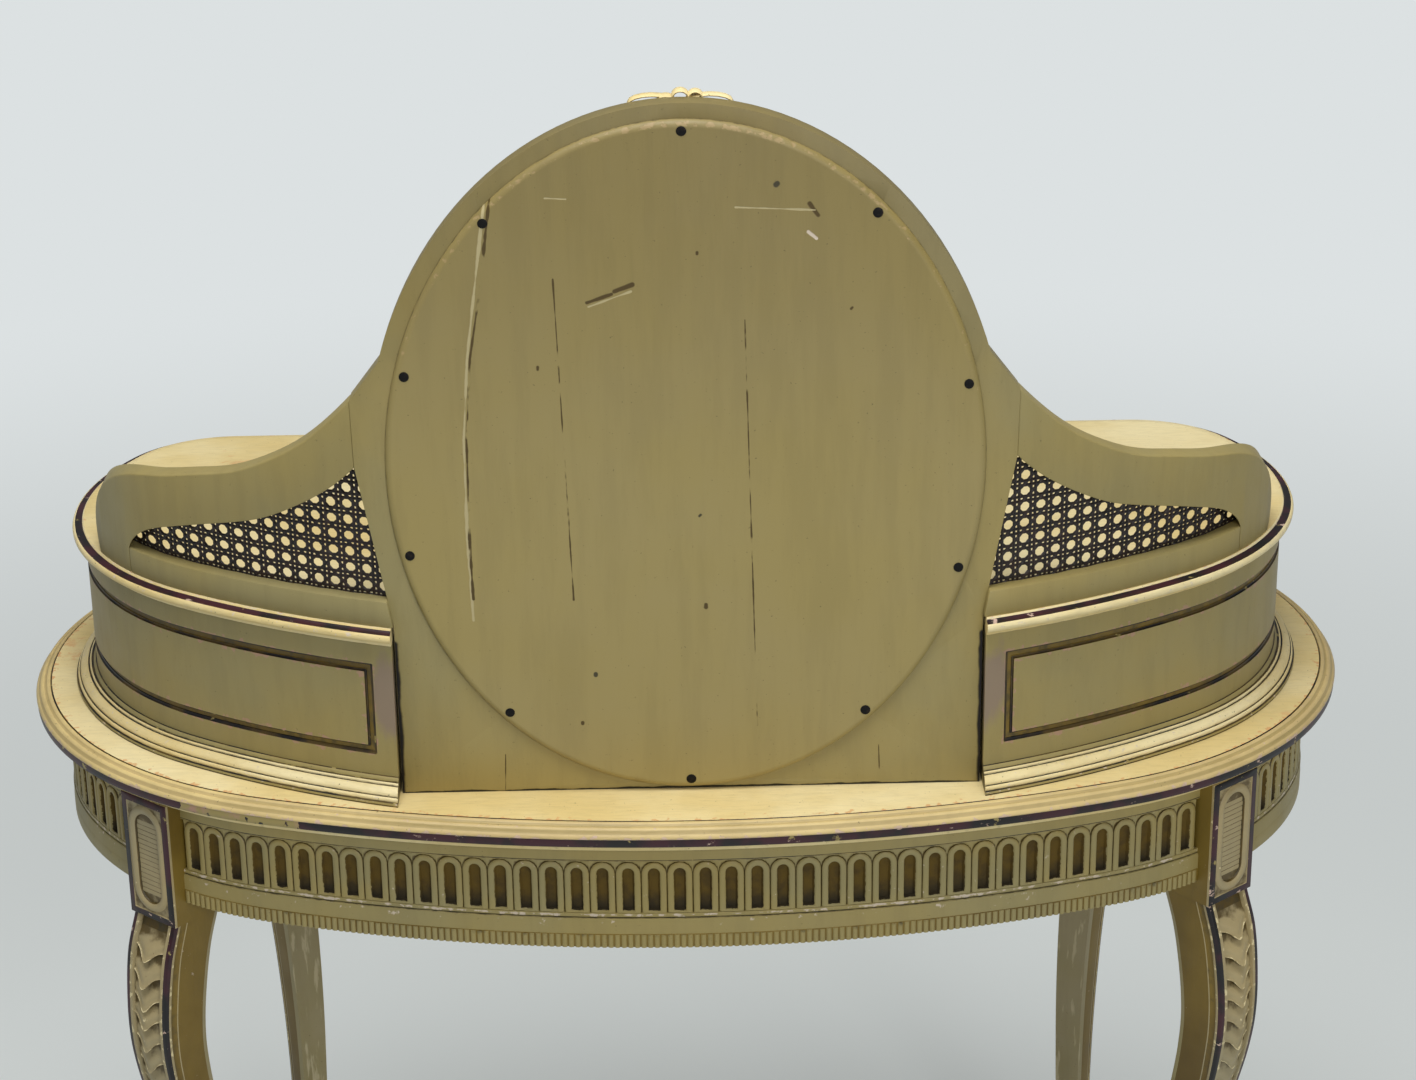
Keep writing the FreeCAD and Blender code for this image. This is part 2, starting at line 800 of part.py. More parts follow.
def board_outline():
    edge, start = arch_edge()
    half, shoulder = v.board_half_width, v.shoulder_half_width
    right = [Vector(half, v.top_height, 0), Vector(half, box_top_level, 0),
             Vector(half + v.neck_spread, box_top_level + v.neck_height, 0),
             Vector(shoulder, box_top_level + v.shoulder_height, 0), start]
    left = [Vector(-spot.x, spot.y, 0) for spot in right]
    return [edge] + lines(*right) + lines(*left) + lines(right[0], left[0])


# places of the screws round the panel, in half turns clockwise from its top
screw_shares = (0, 0.233, 0.405, 0.583, 0.779, 1, 1.214, 1.394, 1.578, 1.773)


def screw_places():
    """places of the screws along the panel's rim"""
    wide, tall = v.panel_half_width - v.screw_inset, v.panel_half_height - v.screw_inset
    turns = [math.pi * share for share in screw_shares]
    return [sight_centre + Vector(wide * math.sin(turn), tall * math.cos(turn), 0) for turn in turns]


def mirror_board():
    body = new_body("mirror_board")
    sight = ellipse(sight_centre, v.sight_half_width, v.sight_half_height)
    pad(body, "board", board_outline() + [sight], "-board_back", "board_thick", "XZ_Plane")
    rebate = ellipse(sight_centre, v.sight_half_width + v.glass_lap, v.sight_half_height + v.glass_lap)
    pocket(body, "glass_rebate", [rebate], "-board_back", "glass_thick", "XZ_Plane", FORWARD)
    holes = [circle(spot, v.screw_shank / 2) for spot in screw_places()]
    pocket(body, "screw_holes", holes, "-board_back", "screw_depth", "XZ_Plane", FORWARD)
    pegs = [circle(spot, v.dowel_diameter / 2) for spot in dowel_places(board_front + v.board_thick / 2)]
    pocket(body, "dowel_holes", pegs, "top_height", "dowel_depth", "XY_Plane", FORWARD)
    return body


def mirror_glass():
    body = new_body("mirror_glass")
    rim = ellipse(sight_centre, v.sight_half_width + v.glass_lap, v.sight_half_height + v.glass_lap)
    pad(body, "glass", [rim], "-board_back", "glass_thick", "XZ_Plane")
    return body


def mirror_back_panel():
    body = new_body("mirror_back_panel")
    outline = [ellipse(sight_centre, v.panel_half_width, v.panel_half_height)]
    outline += [circle(spot, v.screw_head / 2) for spot in screw_places()]
    pad(body, "panel", outline, "-board_back - panel_thick", "panel_thick", "XZ_Plane")
    return body


def mirror_back_screws():
    body = new_body("mirror_back_screws")
    heads = [circle(spot, v.screw_head / 2) for spot in screw_places()]
    shanks = [circle(spot, v.screw_shank / 2) for spot in screw_places()]
    pad(body, "heads", heads, "-board_back - panel_thick", "panel_thick", "XZ_Plane")
    pad(body, "shanks", shanks, "-board_back", "screw_depth", "XZ_Plane")
    return body


def mirror_moulding():
    body = new_body("mirror_moulding")
    inner = ellipse(sight_centre, v.sight_half_width - v.moulding_lap, v.sight_half_height - v.moulding_lap)
    outer = ellipse(sight_centre, v.sight_half_width - v.moulding_lap + v.moulding_width,
                    v.sight_half_height - v.moulding_lap + v.moulding_width)
    pad(body, "ring", [outer, inner], "board_thick - board_back", "moulding_thick", "XZ_Plane")
    return body


crest_shares = (
    # place across and up from the middle, half width, half height and thickness
    (-0.30, 0.10, 0.20, 0.27, 0.75),
    (0.30, 0.10, 0.20, 0.27, 0.75),
    (-0.15, -0.24, 0.13, 0.26, 0.60),
    (0.15, -0.24, 0.13, 0.26, 0.60),
    (0.0, 0.16, 0.12, 0.34, 1.00),
    (0.0, -0.16, 0.17, 0.30, 0.85),
)


def mirror_crest():
    """carved bow: two loops, two tails and a knot on the front of the arch"""
    body = new_body("mirror_crest")
    middle = v.top_height + v.crest_top - v.crest_height / 2
    for number, (across, up, wide, high, thick) in enumerate(crest_shares):
        centre = Vector(across * v.crest_width, middle + up * v.crest_height, 0)
        outline = [ellipse(centre, wide * v.crest_width, high * v.crest_height)]
        depth = f"{thick} * crest_thick"
        pad(body, f"lump_{number}", outline, "board_thick - board_back", depth, "XZ_Plane")
    return body


def mirror_dowels():
    body = new_body("mirror_dowels")
    pegs = [circle(spot, v.dowel_diameter / 2) for spot in dowel_places(board_front + v.board_thick / 2)]
    pad(body, "dowels", pegs, "top_height - dowel_depth", "2 * dowel_depth")
    return body


for make in (mirror_board, mirror_glass, mirror_back_panel, mirror_back_screws, mirror_moulding,
             mirror_crest, mirror_dowels):
    keep_node(make())

# Wings: swept rails that follow the box walls, seen from the back as an elevation

top_shares = ((0.168, 0.893), (0.264, 0.775), (0.372, 0.680), (0.492, 0.604), (0.624, 0.556),
              (0.728, 0.517), (0.836, 0.478), (0.924, 0.404), (0.980, 0.287), (1.000, 0.146), (0.988, 0.0))
sight_shares = ((0.184, 0.590), (0.296, 0.489), (0.392, 0.421), (0.532, 0.360), (0.708, 0.287),
                (0.792, 0.236), (0.848, 0.163))
tip_share = 0.864


def wing_spot(across, up):
    return Vector(v.board_half_width + across * v.wing_length, box_top_level + up * v.shoulder_height, 0)


neck = Vector(v.board_half_width + v.neck_spread, box_top_level + v.neck_height, 0)
shoulder = Vector(v.shoulder_half_width, box_top_level + v.shoulder_height, 0)
heel = Vector(v.board_half_width, box_top_level, 0)
rail_end = Vector(heel.x + v.neck_spread * v.wing_rail / v.neck_height, heel.y + v.wing_rail, 0)
tip_low = wing_spot(tip_share, 0)
tip = Vector(tip_low.x, heel.y + v.wing_rail, 0)
sight_curve = [neck] + [wing_spot(*share) for share in sight_shares] + [tip]


def top_rail_outline():
    curve = [shoulder] + [wing_spot(*share) for share in top_shares]
    return [spline(curve), spline(sight_curve)] + lines(curve[-1], tip_low, tip) + lines(neck, shoulder)


def bottom_rail_outline():
    return loop(heel, tip_low, tip, rail_end)


def cane_outline():
    return [spline(sight_curve)] + lines(tip, rail_end, neck)


def wing_piece(label, outline, outer, inner):
    """the part of a curved strip, between two insets, that lies behind an elevation"""
    plan = new_body(label + "_plan")
    start = v.board_half_width
    spans = [(box_oval.back_angle(start, inset), math.pi / 2) for inset in (outer, inner)]
    pad(plan, "strip", strip(box_oval, outer, inner, *spans), box_top, "shoulder_height")
    face = new_body(label + "_face")
    pad(face, "elevation", outline, "-board_back - overrun", "board_back + overrun", "XZ_Plane")
    piece = doc.addObject("Part::Common", label)
    piece.Base = plan
    piece.Tool = face
    return piece


def wing_top_rail(label):
    return wing_piece(label, top_rail_outline(), v.wall_inset, v.wall_inset + v.wing_thick)


def wing_bottom_rail(label):
    return wing_piece(label, bottom_rail_outline(), v.wall_inset, v.wall_inset + v.wing_thick)


cane_start_shares = (0.5, 0.6)
cane_margin_share = 1.2


def cane_holes():
    """rows of round holes that keep clear of the frame"""
    radius = v.cane_hole / 2
    across_share, up_share = cane_start_shares
    first = Vector(heel.x + across_share * v.cane_pitch, tip.y + up_share * v.cane_pitch, 0)
    frame = Part.Face(Part.Wire(Part.__sortEdges__([edge.toShape() for edge in cane_outline()])))
    border = frame.OuterWire
    rows = int(v.shoulder_height / v.cane_pitch)
    columns = int(v.wing_length / v.cane_pitch)
    spots = [first + Vector(column * v.cane_pitch, row * v.cane_pitch, 0)
             for row in range(rows) for column in range(columns)]
    inside = [spot for spot in spots if frame.isInside(spot, hair, True)]
    margin = radius * cane_margin_share
    clear = [spot for spot in inside if border.distToShape(Part.Vertex(spot))[0] > margin]
    return [circle(spot, radius) for spot in clear]


def cane_panel(label):
    back = v.wall_inset + v.cane_setback
    sheet_piece = wing_piece(label + "_sheet", cane_outline(), back, back + v.cane_thick)
    holes = new_body(label + "_holes")
    pad(holes, "holes", cane_holes(), "-board_back - overrun", "board_back + overrun", "XZ_Plane")
    return cut(label, sheet_piece, holes)


for make in (wing_top_rail, wing_bottom_rail, cane_panel):
    pair(make, make.__name__ + "_left")

# Check every object, then write one file for each node

doc.recompute()
for thing in doc.Objects:
    if "Invalid" in thing.State or "Error" in thing.State:
        raise RuntimeError(f"{thing.Name} failed: {thing.State}")
for node in nodes:
    if node.Shape.isNull() or not node.Shape.isValid():
        raise RuntimeError(f"{node.Label} has no valid shape")
os.makedirs("parts", exist_ok=True)
for node in nodes:
    node.Shape.exportStep(f"parts/{node.Label}.step")
box = Part.makeCompound([node.Shape for node in nodes]).optimalBoundingBox(False)
print(len(nodes), "nodes in a box of", [round(side) for side in (box.XLength, box.YLength, box.ZLength)])
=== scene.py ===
import json
import math

import bmesh
import bpy
from mathutils import Matrix, Vector


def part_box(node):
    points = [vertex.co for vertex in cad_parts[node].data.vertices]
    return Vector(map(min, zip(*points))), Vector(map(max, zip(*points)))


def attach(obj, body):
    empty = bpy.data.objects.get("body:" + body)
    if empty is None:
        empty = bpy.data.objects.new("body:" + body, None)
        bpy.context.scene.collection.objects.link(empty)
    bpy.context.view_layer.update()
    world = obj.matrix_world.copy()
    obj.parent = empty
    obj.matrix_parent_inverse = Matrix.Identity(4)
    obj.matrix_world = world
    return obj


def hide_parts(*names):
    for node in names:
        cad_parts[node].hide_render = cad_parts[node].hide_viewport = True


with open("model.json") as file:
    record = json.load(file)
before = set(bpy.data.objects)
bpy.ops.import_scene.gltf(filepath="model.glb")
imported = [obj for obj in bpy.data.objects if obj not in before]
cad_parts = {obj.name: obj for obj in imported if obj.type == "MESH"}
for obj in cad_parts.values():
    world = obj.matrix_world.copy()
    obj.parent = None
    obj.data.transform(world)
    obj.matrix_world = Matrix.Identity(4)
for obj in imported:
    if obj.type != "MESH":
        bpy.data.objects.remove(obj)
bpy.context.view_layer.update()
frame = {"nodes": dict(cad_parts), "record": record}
mm = 0.001
print("frame loaded with", len(frame["nodes"]), "nodes")


# Node building, for paints and for Geometry Nodes trees

def linear(color):
    # a colour picked as 0-255 values, as the shader wants it
    return tuple(((c / 255 + 0.055) / 1.055) ** 2.4 if c > 10 else c / 255 / 12.92 for c in color) + (1.0,)


def plug(tree, socket, value):
    if isinstance(value, bpy.types.NodeSocket):
        tree.links.new(value, socket)
    elif value is not None:
        socket.default_value = value


def addNode(tree, kind, inputs=None, **settings):
    # a node with its own settings, and with its inputs linked or set
    node = tree.nodes.new(kind)
    for key, value in settings.items():
        setattr(node, key, value)
    for key, value in (inputs or {}).items():
        plug(tree, node.inputs[key], value)
    return node


def mathNode(tree, operation, *values):
    return addNode(tree, "ShaderNodeMath", dict(enumerate(values)), operation=operation).outputs[0]


class Paint:
    # one material with short calls for the nodes that the finishes share
    def __init__(self, name):
        self.material = bpy.data.materials.new(name)
        self.material.use_nodes = True
        self.tree = self.material.node_tree
        self.shader = self.tree.nodes["Principled BSDF"]
        self.coords = self.add("TexCoord").outputs["Object"]

    def add(self, kind, inputs=None, **settings):
        return addNode(self.tree, "ShaderNode" + kind, inputs, **settings)

    def math(self, operation, *values):
        return mathNode(self.tree, operation, *values)

    def vector(self, operation, a, b=None, output=0):
        second = "Scale" if operation == "SCALE" else 1
        return self.add("VectorMath", {0: a, second: b}, operation=operation).outputs[output]

    def noise(self, scale, detail=4, stretch=(1, 1, 1), rough=0.55, place=(0, 0, 0)):
        spots = self.add("Mapping", {"Vector": self.coords, "Scale": stretch, "Location": place}).outputs[0]
        inputs = {"Vector": spots, "Scale": scale, "Detail": detail, "Roughness": rough}
        return self.add("TexNoise", inputs).outputs["Fac"]

    def band(self, value, low, high):
        # 0 under low, 1 over high
        inputs = {"Value": value, "From Min": low, "From Max": high}
        return self.add("MapRange", inputs, interpolation_type="SMOOTHSTEP").outputs[0]

    def mix(self, share, under, over):
        # of two colours, each by its name or from a node
        under, over = (paintColors[tone] if isinstance(tone, str) else tone for tone in (under, over))
        return self.add("Mix", {"Factor": share, 6: under, 7: over}, data_type="RGBA").outputs[2]

    def tint(self, color, share, strength, tone):
        # one colour over another, as strong as the share says
        return self.mix(self.math("MULTIPLY", share, strength), color, tone)

    def uneven(self, name, scale, swing, stretch=(1, 1, 1)):
        # an attribute with noise on it, for edges that break up
        least = self.math("SUBTRACT", self.add("Attribute", attribute_name=name).outputs["Fac"], swing / 2)
        return self.math("MULTIPLY_ADD", self.noise(scale, 4, stretch), swing, least)

    def stroke(self, start, end, width):
        # 1 within a scratch or joint between two places (x, z) on a face that looks along Y
        start, end = Vector((start[0], 0, start[1])) * mm, Vector((end[0], 0, end[1])) * mm
        swing = min(width, 1.6 * mm) * 2.4
        wander = self.math("MULTIPLY_ADD", self.noise(45, 3), swing, -swing / 2)
        away = self.vector("SUBTRACT", self.vector("MULTIPLY", self.coords, (1, 0, 1)), tuple(start))
        along = (end - start).normalized()
        reach = self.vector("DOT_PRODUCT", away, tuple(along), "Value")
        reach = self.math("MINIMUM", self.math("MAXIMUM", reach, 0), (end - start).length)
        gap = self.vector("DISTANCE", away, self.vector("SCALE", tuple(along), reach), "Value")
        return self.math("SUBTRACT", 1, self.band(self.math("ADD", gap, wander), width * 0.35, width * 0.75))

    def axes(self):
        return self.add("SeparateXYZ", {0: self.coords}).outputs

    def done(self, color, rough, height=None, strength=0.3, depth=1 * mm, metal=None):
        inputs = {"Base Color": color, "Roughness": rough, "Metallic": metal}
        if height is not None:
            inputs["Normal"] = self.add("Bump", {"Strength": strength, "Distance": depth, "Height": height}).outputs[0]
        for key, value in inputs.items():
            plug(self.tree, self.shader.inputs[key], value)
        return self.material


paintColors = {name: linear(color) for name, color in {
    "cream": (222, 198, 134), "creamLight": (238, 222, 172), "creamWorn": (214, 162, 106),
    "edgeCream": (196, 172, 118), "edgeShade": (172, 151, 96), "olive": (160, 143, 86), "oliveDeep": (130, 106, 36),
    "oliveGrey": (153, 141, 94), "panel": (160, 144, 92), "tan": (186, 160, 112), "carving": (176, 158, 114),
    "carvingGrey": (164, 152, 118), "flake": (200, 172, 154), "scratch": (184, 170, 126),
    "insideWorn": (196, 184, 148), "umber": (78, 60, 16), "grime": (62, 56, 34), "black": (14, 10, 12),
    "mauve": (142, 122, 108), "burgundy": (60, 18, 30), "chip": (214, 198, 178), "pinkWood": (176, 138, 116),
    "ochre": (98, 76, 14), "hollowDark": (34, 30, 16), "timber": (186, 146, 96), "timberDark": (140, 98, 56),
    "pore": (70, 46, 24), "cane": (16, 9, 10), "canePale": (44, 26, 20), "brass": (196, 158, 88),
    "tarnish": (104, 74, 34), "silver": (226, 230, 230), "foxing": (120, 108, 88), "screw": (10, 9, 9),
    "rust": (38, 28, 22), "floorNear": (224, 229, 227), "floorFar": (220, 225, 226), "sky": (222, 225, 226)}.items()}
agedBump = {"strength": 0.35, "depth": 0.6 * mm}


def agedLayers(p, base, tones, streak=(1, 1, 1), wearColor="chip", grimeColor="grime", patch=None, speck=0.5,
               drag=(1, 1, 1)):
    # brushed paint: cloudy tone, fine brush streaks, specks, dirt and painted shade in the hollows, and rubbed edges
    color = p.mix(p.band(p.noise(7, 5), 0.32, 0.7), base, tones)
    streaks = p.band(p.noise(60, 4, streak, 0.65), 0.42, 0.66)
    color = p.tint(color, streaks, 0.08, grimeColor)
    if patch:
        color = p.tint(color, p.band(p.noise(9, 7, rough=0.7, place=(3.1, 1.7, 0)), 0.62, 0.68), 0.7, patch)
    color = p.tint(color, p.band(p.noise(420, 2), 0.70, 0.76), speck, grimeColor)
    # dirt and painted shade, as strong as each vertex's mark says: darker in hollows, crevices and under edges
    color = p.tint(color, p.band(p.uneven("grime", 130, 0.9), 0.35, 0.72), 0.9, grimeColor)
    worn = p.band(p.uneven("wear", 170, 1.6, drag), 0.52, 0.66)
    color = p.tint(color, worn, 0.85, wearColor)
    sheen = p.math("MULTIPLY_ADD", p.noise(35, 4), 0.22, 0.42)
    return color, sheen, p.math("MULTIPLY_ADD", streaks, 0.5, p.math("MULTIPLY", worn, -0.8))


def agedPaint(name, base, tones, **choices):
    p = Paint(name)
    return p.done(*agedLayers(p, base, tones, **choices), **agedBump)


# grey mauve stain on the box walls beside the mirror board; squeeze stretches it upwards
wallStain = {"across": 230 * mm, "height": 842 * mm, "squeeze": 0.4, "reach": 21 * mm, "ragged": 24 * mm,
             "fade": 8 * mm, "strength": 0.8}


def stainedPaint(name, base, tones, **choices):
    p = Paint(name)
    s = wallStain
    color, sheen, height = agedLayers(p, base, tones, **choices)
    x, _, z = p.axes()
    across = p.math("SUBTRACT", p.math("ABSOLUTE", x), s["across"])
    up = p.math("MULTIPLY", p.math("SUBTRACT", z, s["height"]), s["squeeze"])
    away = p.math("SQRT", p.math("MULTIPLY_ADD", across, across, p.math("MULTIPLY", up, up)))
    ragged = p.math("MULTIPLY", p.noise(55, 5, (1, 1, 0.35), 0.65), s["ragged"])
    outside = p.band(p.math("ADD", away, ragged), s["reach"], s["reach"] + s["fade"])
    color = p.tint(color, p.math("SUBTRACT", 1, outside), s["strength"], "mauve")
    return p.done(color, sheen, height, **agedBump)


# the band of painted shade over the board's upper part, then the board's cracks and knots
boardWearAndShade = {"shadeFrom": 950 * mm, "shadeTo": 1300 * mm, "longCrack": 30, "knotWobble": 20 * mm,
             "knotHeart": 10 * mm, "knotStrength": 0.5}


def markedPaint(name, base, tones, marks, shade, knots=(), face=0.0, **choices):
    # aged paint with the scratches and cracks of one board, or the painted shadow lines along its edges, knots on its
    # face, and painted shade that darkens its upper part
    p = Paint(name)
    b = boardWearAndShade
    color, sheen, height = agedLayers(p, base, tones, **choices)
    # painted shade: the upper part darkened towards umber, as strong as shade says
    color = p.tint(color, p.band(p.axes()[2], b["shadeFrom"], b["shadeTo"]), shade, "umber")
    for tone, width, *places in marks:
        for start, end in zip(places, places[1:]):
            line = p.stroke(start, end, width * mm)
            if tone == "umber" and abs(start[1] - end[1]) > b["longCrack"]:  # long cracks come and go
                line = p.math("MULTIPLY", line, p.band(p.noise(60, 3, (1, 1, 0.5)), 0.44, 0.52))
            color = p.mix(line, color, tone)
            height = p.math("MULTIPLY_ADD", line, -0.6, height)
    for x, z, reach in knots:
        away = p.vector("DISTANCE", p.coords, (x * mm, face, z * mm), "Value")
        away = p.math("MULTIPLY_ADD", p.noise(60, 4), b["knotWobble"], away)
        ring = p.math("SUBTRACT", 1, p.band(away, b["knotHeart"], b["knotHeart"] + reach * mm))
        color = p.tint(color, ring, b["knotStrength"], "ochre")
    return p.done(color, sheen, height, **agedBump)


def linePaint(name, base, chipColor, chipping, lost=None):
    # a painted line that has flaked along its length; lost is a stretch along X of the back where it is gone
    p = Paint(name)
    chipped = p.band(p.noise(55, 6, (1, 1, 2.2), 0.7), chipping, chipping + 0.03)
    tone = p.mix(p.band(p.noise(25, 3), 0.4, 0.6), base, "black")
    color = p.mix(chipped, tone, chipColor)
    color = p.mix(p.band(p.noise(90, 5, place=(2, 5, 1)), 0.66, 0.7), color, "olive")
    if lost:
        x, y, _ = p.axes()
        x = p.math("MULTIPLY_ADD", p.noise(120, 3), 0.02, x)
        gone = p.math("MULTIPLY", p.math("GREATER_THAN", x, lost[0]), p.math("LESS_THAN", x, lost[1]))
        gone = p.math("MULTIPLY", gone, p.math("GREATER_THAN", y, 0))
        bare = p.mix(p.band(p.noise(70, 4), 0.3, 0.52), "pinkWood", "olive")
        color = p.mix(p.math("MULTIPLY", gone, p.band(p.noise(150, 3), 0.36, 0.4)), color, bare)
    return p.done(color, 0.45, chipped, -0.5, 0.5 * mm)


def archPaint(name):
    # frieze carving: pale olive borders, ochre hollows that darken to the bottom, uneven brush line between
    p = Paint(name)
    inside = p.band(p.uneven("hollow", 260, 0.9), 0.46, 0.58)
    ring = p.mix(p.band(p.noise(14, 5), 0.38, 0.64), "olive", "oliveGrey")
    ring = p.tint(ring, p.band(p.uneven("wear", 200, 1.5), 0.55, 0.7), 0.8, "chip")
    # dirt and painted shade in the crevices round the borders, toward umber
    ring = p.tint(ring, p.band(p.uneven("grime", 150, 0.7), 0.4, 0.7), 0.92, "umber")
    depth = p.mix(p.band(p.noise(90, 4), 0.4, 0.7), "ochre", "umber")
    depth = p.tint(depth, p.band(p.uneven("low", 160, 0.3), 0.5, 1.0), 0.85, "hollowDark")
    rough = p.math("MULTIPLY_ADD", inside, 0.35, 0.5)
    return p.done(p.mix(inside, ring, depth), rough, p.noise(220, 4), 0.4, 0.5 * mm)


def woodFinish():
    # planed timber: long grain, a few darker rings and pores
    p = Paint("bareWood")
    along = (1, 0.06, 1)
    grain = p.noise(70, 5, along, 0.6)
    color = p.mix(p.band(grain, 0.3, 0.7), "timber", "timberDark")
    color = p.tint(color, p.band(p.noise(14, 2, along), 0.4, 0.6), 0.35, "timberDark")
    color = p.tint(color, p.band(p.noise(500, 2, along), 0.62, 0.7), 0.5, "pore")
    return p.done(color, 0.62, grain, 0.25, 0.5 * mm)


def caneFinish():
    p = Paint("darkCane")
    fibre = p.noise(300, 3, (1, 1, 0.3))
    return p.done(p.mix(p.band(fibre, 0.35, 0.7), "cane", "canePale"), 0.38, fibre, 0.3, 0.3 * mm)


def brassFinish():
    p = Paint("agedBrass")
    tarnish = p.band(p.noise(90, 5), 0.42, 0.68)
    rough = p.math("MULTIPLY_ADD", tarnish, 0.3, 0.24)
    return p.done(p.mix(tarnish, "brass", "tarnish"), rough, p.noise(260, 3), 0.15, 0.3 * mm, metal=1)


def mirrorFinish():
    p = Paint("silveredGlass")
    foxing = p.band(p.noise(38, 6, rough=0.75), 0.66, 0.72)
    return p.done(p.tint("silver", foxing, 0.45, "foxing"), p.math("MULTIPLY_ADD", foxing, 0.3, 0.03), metal=1)


def screwFinish():
    p = Paint("blackScrew")
    rust = p.band(p.noise(400, 4), 0.5, 0.7)
    return p.done(p.mix(rust, "screw", "rust"), 0.5, rust, 0.3, 0.3 * mm, metal=0.6)


cream = agedPaint("creamPaint", "cream", "creamLight", streak=(1, 6, 6), patch="creamWorn", wearColor="creamWorn")
bead = agedPaint("creamBead", "creamLight", "cream", streak=(1, 1, 5), speck=0.8)
edgeBead = agedPaint("edgePaint", "edgeCream", "cream", streak=(1, 1, 5), wearColor="flake", speck=0.8)
edgeShade = agedPaint("edgeShadePaint", "edgeShade", "edgeCream", streak=(1, 1, 5))
olive = agedPaint("olivePaint", "olive", "oliveGrey", streak=(1, 1, 0.2), speck=0.4)
wallOlive = stainedPaint("wallPaint", "olive", "oliveGrey", streak=(1, 1, 0.2), wearColor="pinkWood", speck=0.4)
sideOlive = agedPaint("ochrePaint", "oliveDeep", "ochre", streak=(1, 1, 0.15), speck=0.3)
carved = agedPaint("carvedPaint", "carving", "carvingGrey", wearColor="creamLight", grimeColor="umber")
legInside = agedPaint("legInsidePaint", "carvingGrey", "oliveGrey", streak=(1, 1, 0.1), wearColor="insideWorn",
                      grimeColor="umber", drag=(1, 1, 0.12))
lineDark = linePaint("darkLine", "umber", "grime", 0.66)
lineRed = linePaint("burgundyLine", "burgundy", "flake", 0.64)
edgeRed = linePaint("edgeLine", "burgundy", "flake", 0.63, lost=(310 * mm, 406 * mm))
hollowOchre = agedPaint("hollowPaint", "ochre", "umber", streak=(1, 1, 0.3))
wallGroove = agedPaint("groovePaint", "oliveDeep", "ochre", streak=(1, 1, 0.3))
arches = archPaint("archPaint")
bareWood = woodFinish()
darkCane = caneFinish()
brass = brassFinish()
silver = mirrorFinish()
blackScrew = screwFinish()
print("paints mixed")


# Mesh building

joinGap = {"drawn": 0.01 * mm, "cad": 0.02 * mm}


def addObject(name, data):
    thing = bpy.data.objects.new(name, data)
    bpy.context.scene.collection.objects.link(thing)
    return thing


def newPiece(name, verts, faces, materials, slots=None, smooth=40, marks=None):
    # marks are named numbers for each vertex, read by the paints
    mesh = bpy.data.meshes.new(name)
    mesh.from_pydata([tuple(v) for v in verts], [], faces)
    for material in materials:
        mesh.materials.append(material)
    if slots:
        mesh.polygons.foreach_set("material_index", slots)
    for key, values in (marks or {}).items():
        mesh.attributes.new(key, "FLOAT", "POINT").data.foreach_set("value", values)
    piece = addObject(name, mesh)
    tidyMesh(piece, smooth)
    return piece


def tidyMesh(piece, smooth):
    work = bmesh.new()
    work.from_mesh(piece.data)
    bmesh.ops.remove_doubles(work, verts=work.verts, dist=joinGap["drawn"])
    bmesh.ops.recalc_face_normals(work, faces=work.faces)
    for face in work.faces:
        face.smooth = True
    limit = math.radians(smooth)
    for edge in work.edges:
        edge.smooth = len(edge.link_faces) == 2 and edge.calc_face_angle(0) < limit
    work.to_mesh(piece.data)
    work.free()


def evaluated(thing):
    # the mesh that an object's modifiers make
    return bpy.data.meshes.new_from_object(thing.evaluated_get(bpy.context.evaluated_depsgraph_get()))


def joinPieces(name, pieces):
    with bpy.context.temp_override(active_object=pieces[0], selected_editable_objects=pieces):
        bpy.ops.object.join()
    pieces[0].name = name
    pieces[0].data.name = name
    return pieces[0]


def grid(rows, closed=False):
    # quads between rows of equal length; closed joins the ends of each row
    count = len(rows[0])
    verts = [spot for row in rows for spot in row]
    faces = []
    for r in range(len(rows) - 1):
        for c in range(count if closed else count - 1):
            d = (c + 1) % count
            faces.append((r * count + c, r * count + d, (r + 1) * count + d, (r + 1) * count + c))
    return verts, faces


def fullTurn(count):
    return [2 * math.pi * i / count for i in range(count)]


def rowFace(count, row):
    return [row * count + i for i in range(count)]


def columnFace(count, column, rows):
    return [row * count + column for row in range(rows)]


def loftPiece(name, loops, materials, ends=(), caps=(), closed=False, smooth=50):
    # a skin over loops, each with the paint of the strip that ends there, dirt and painted shade, and rubbing; ends
    # are the paints of the faces over the first and last loop, and caps are more faces
    verts, faces = grid([loop[0] for loop in loops], closed)
    count = len(loops[0][0])
    slots = [loop[1] for loop in loops[1:] for _ in range(count if closed else count - 1)]
    dirtAndShade, rub = ([loop[key] for loop in loops for _ in range(count)] for key in (2, 3))
    faces += [rowFace(count, row) for row, _ in zip((0, len(loops) - 1), ends)] + list(caps)
    return newPiece(name, verts, faces, materials, slots + list(ends) + [0] * len(caps), smooth,
                    {"grime": dirtAndShade, "wear": rub})


def mirrorPiece(piece, name):
    twin = piece.copy()
    twin.data = piece.data.copy()
    twin.name = twin.data.name = name
    bpy.context.scene.collection.objects.link(twin)
    twin.data.transform(Matrix.Scale(-1, 4, (1, 0, 0)))
    twin.data.flip_normals()
    return twin


def putInPlace(piece, node=None, body="root"):
    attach(piece, body)
    if node:
        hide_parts(node)


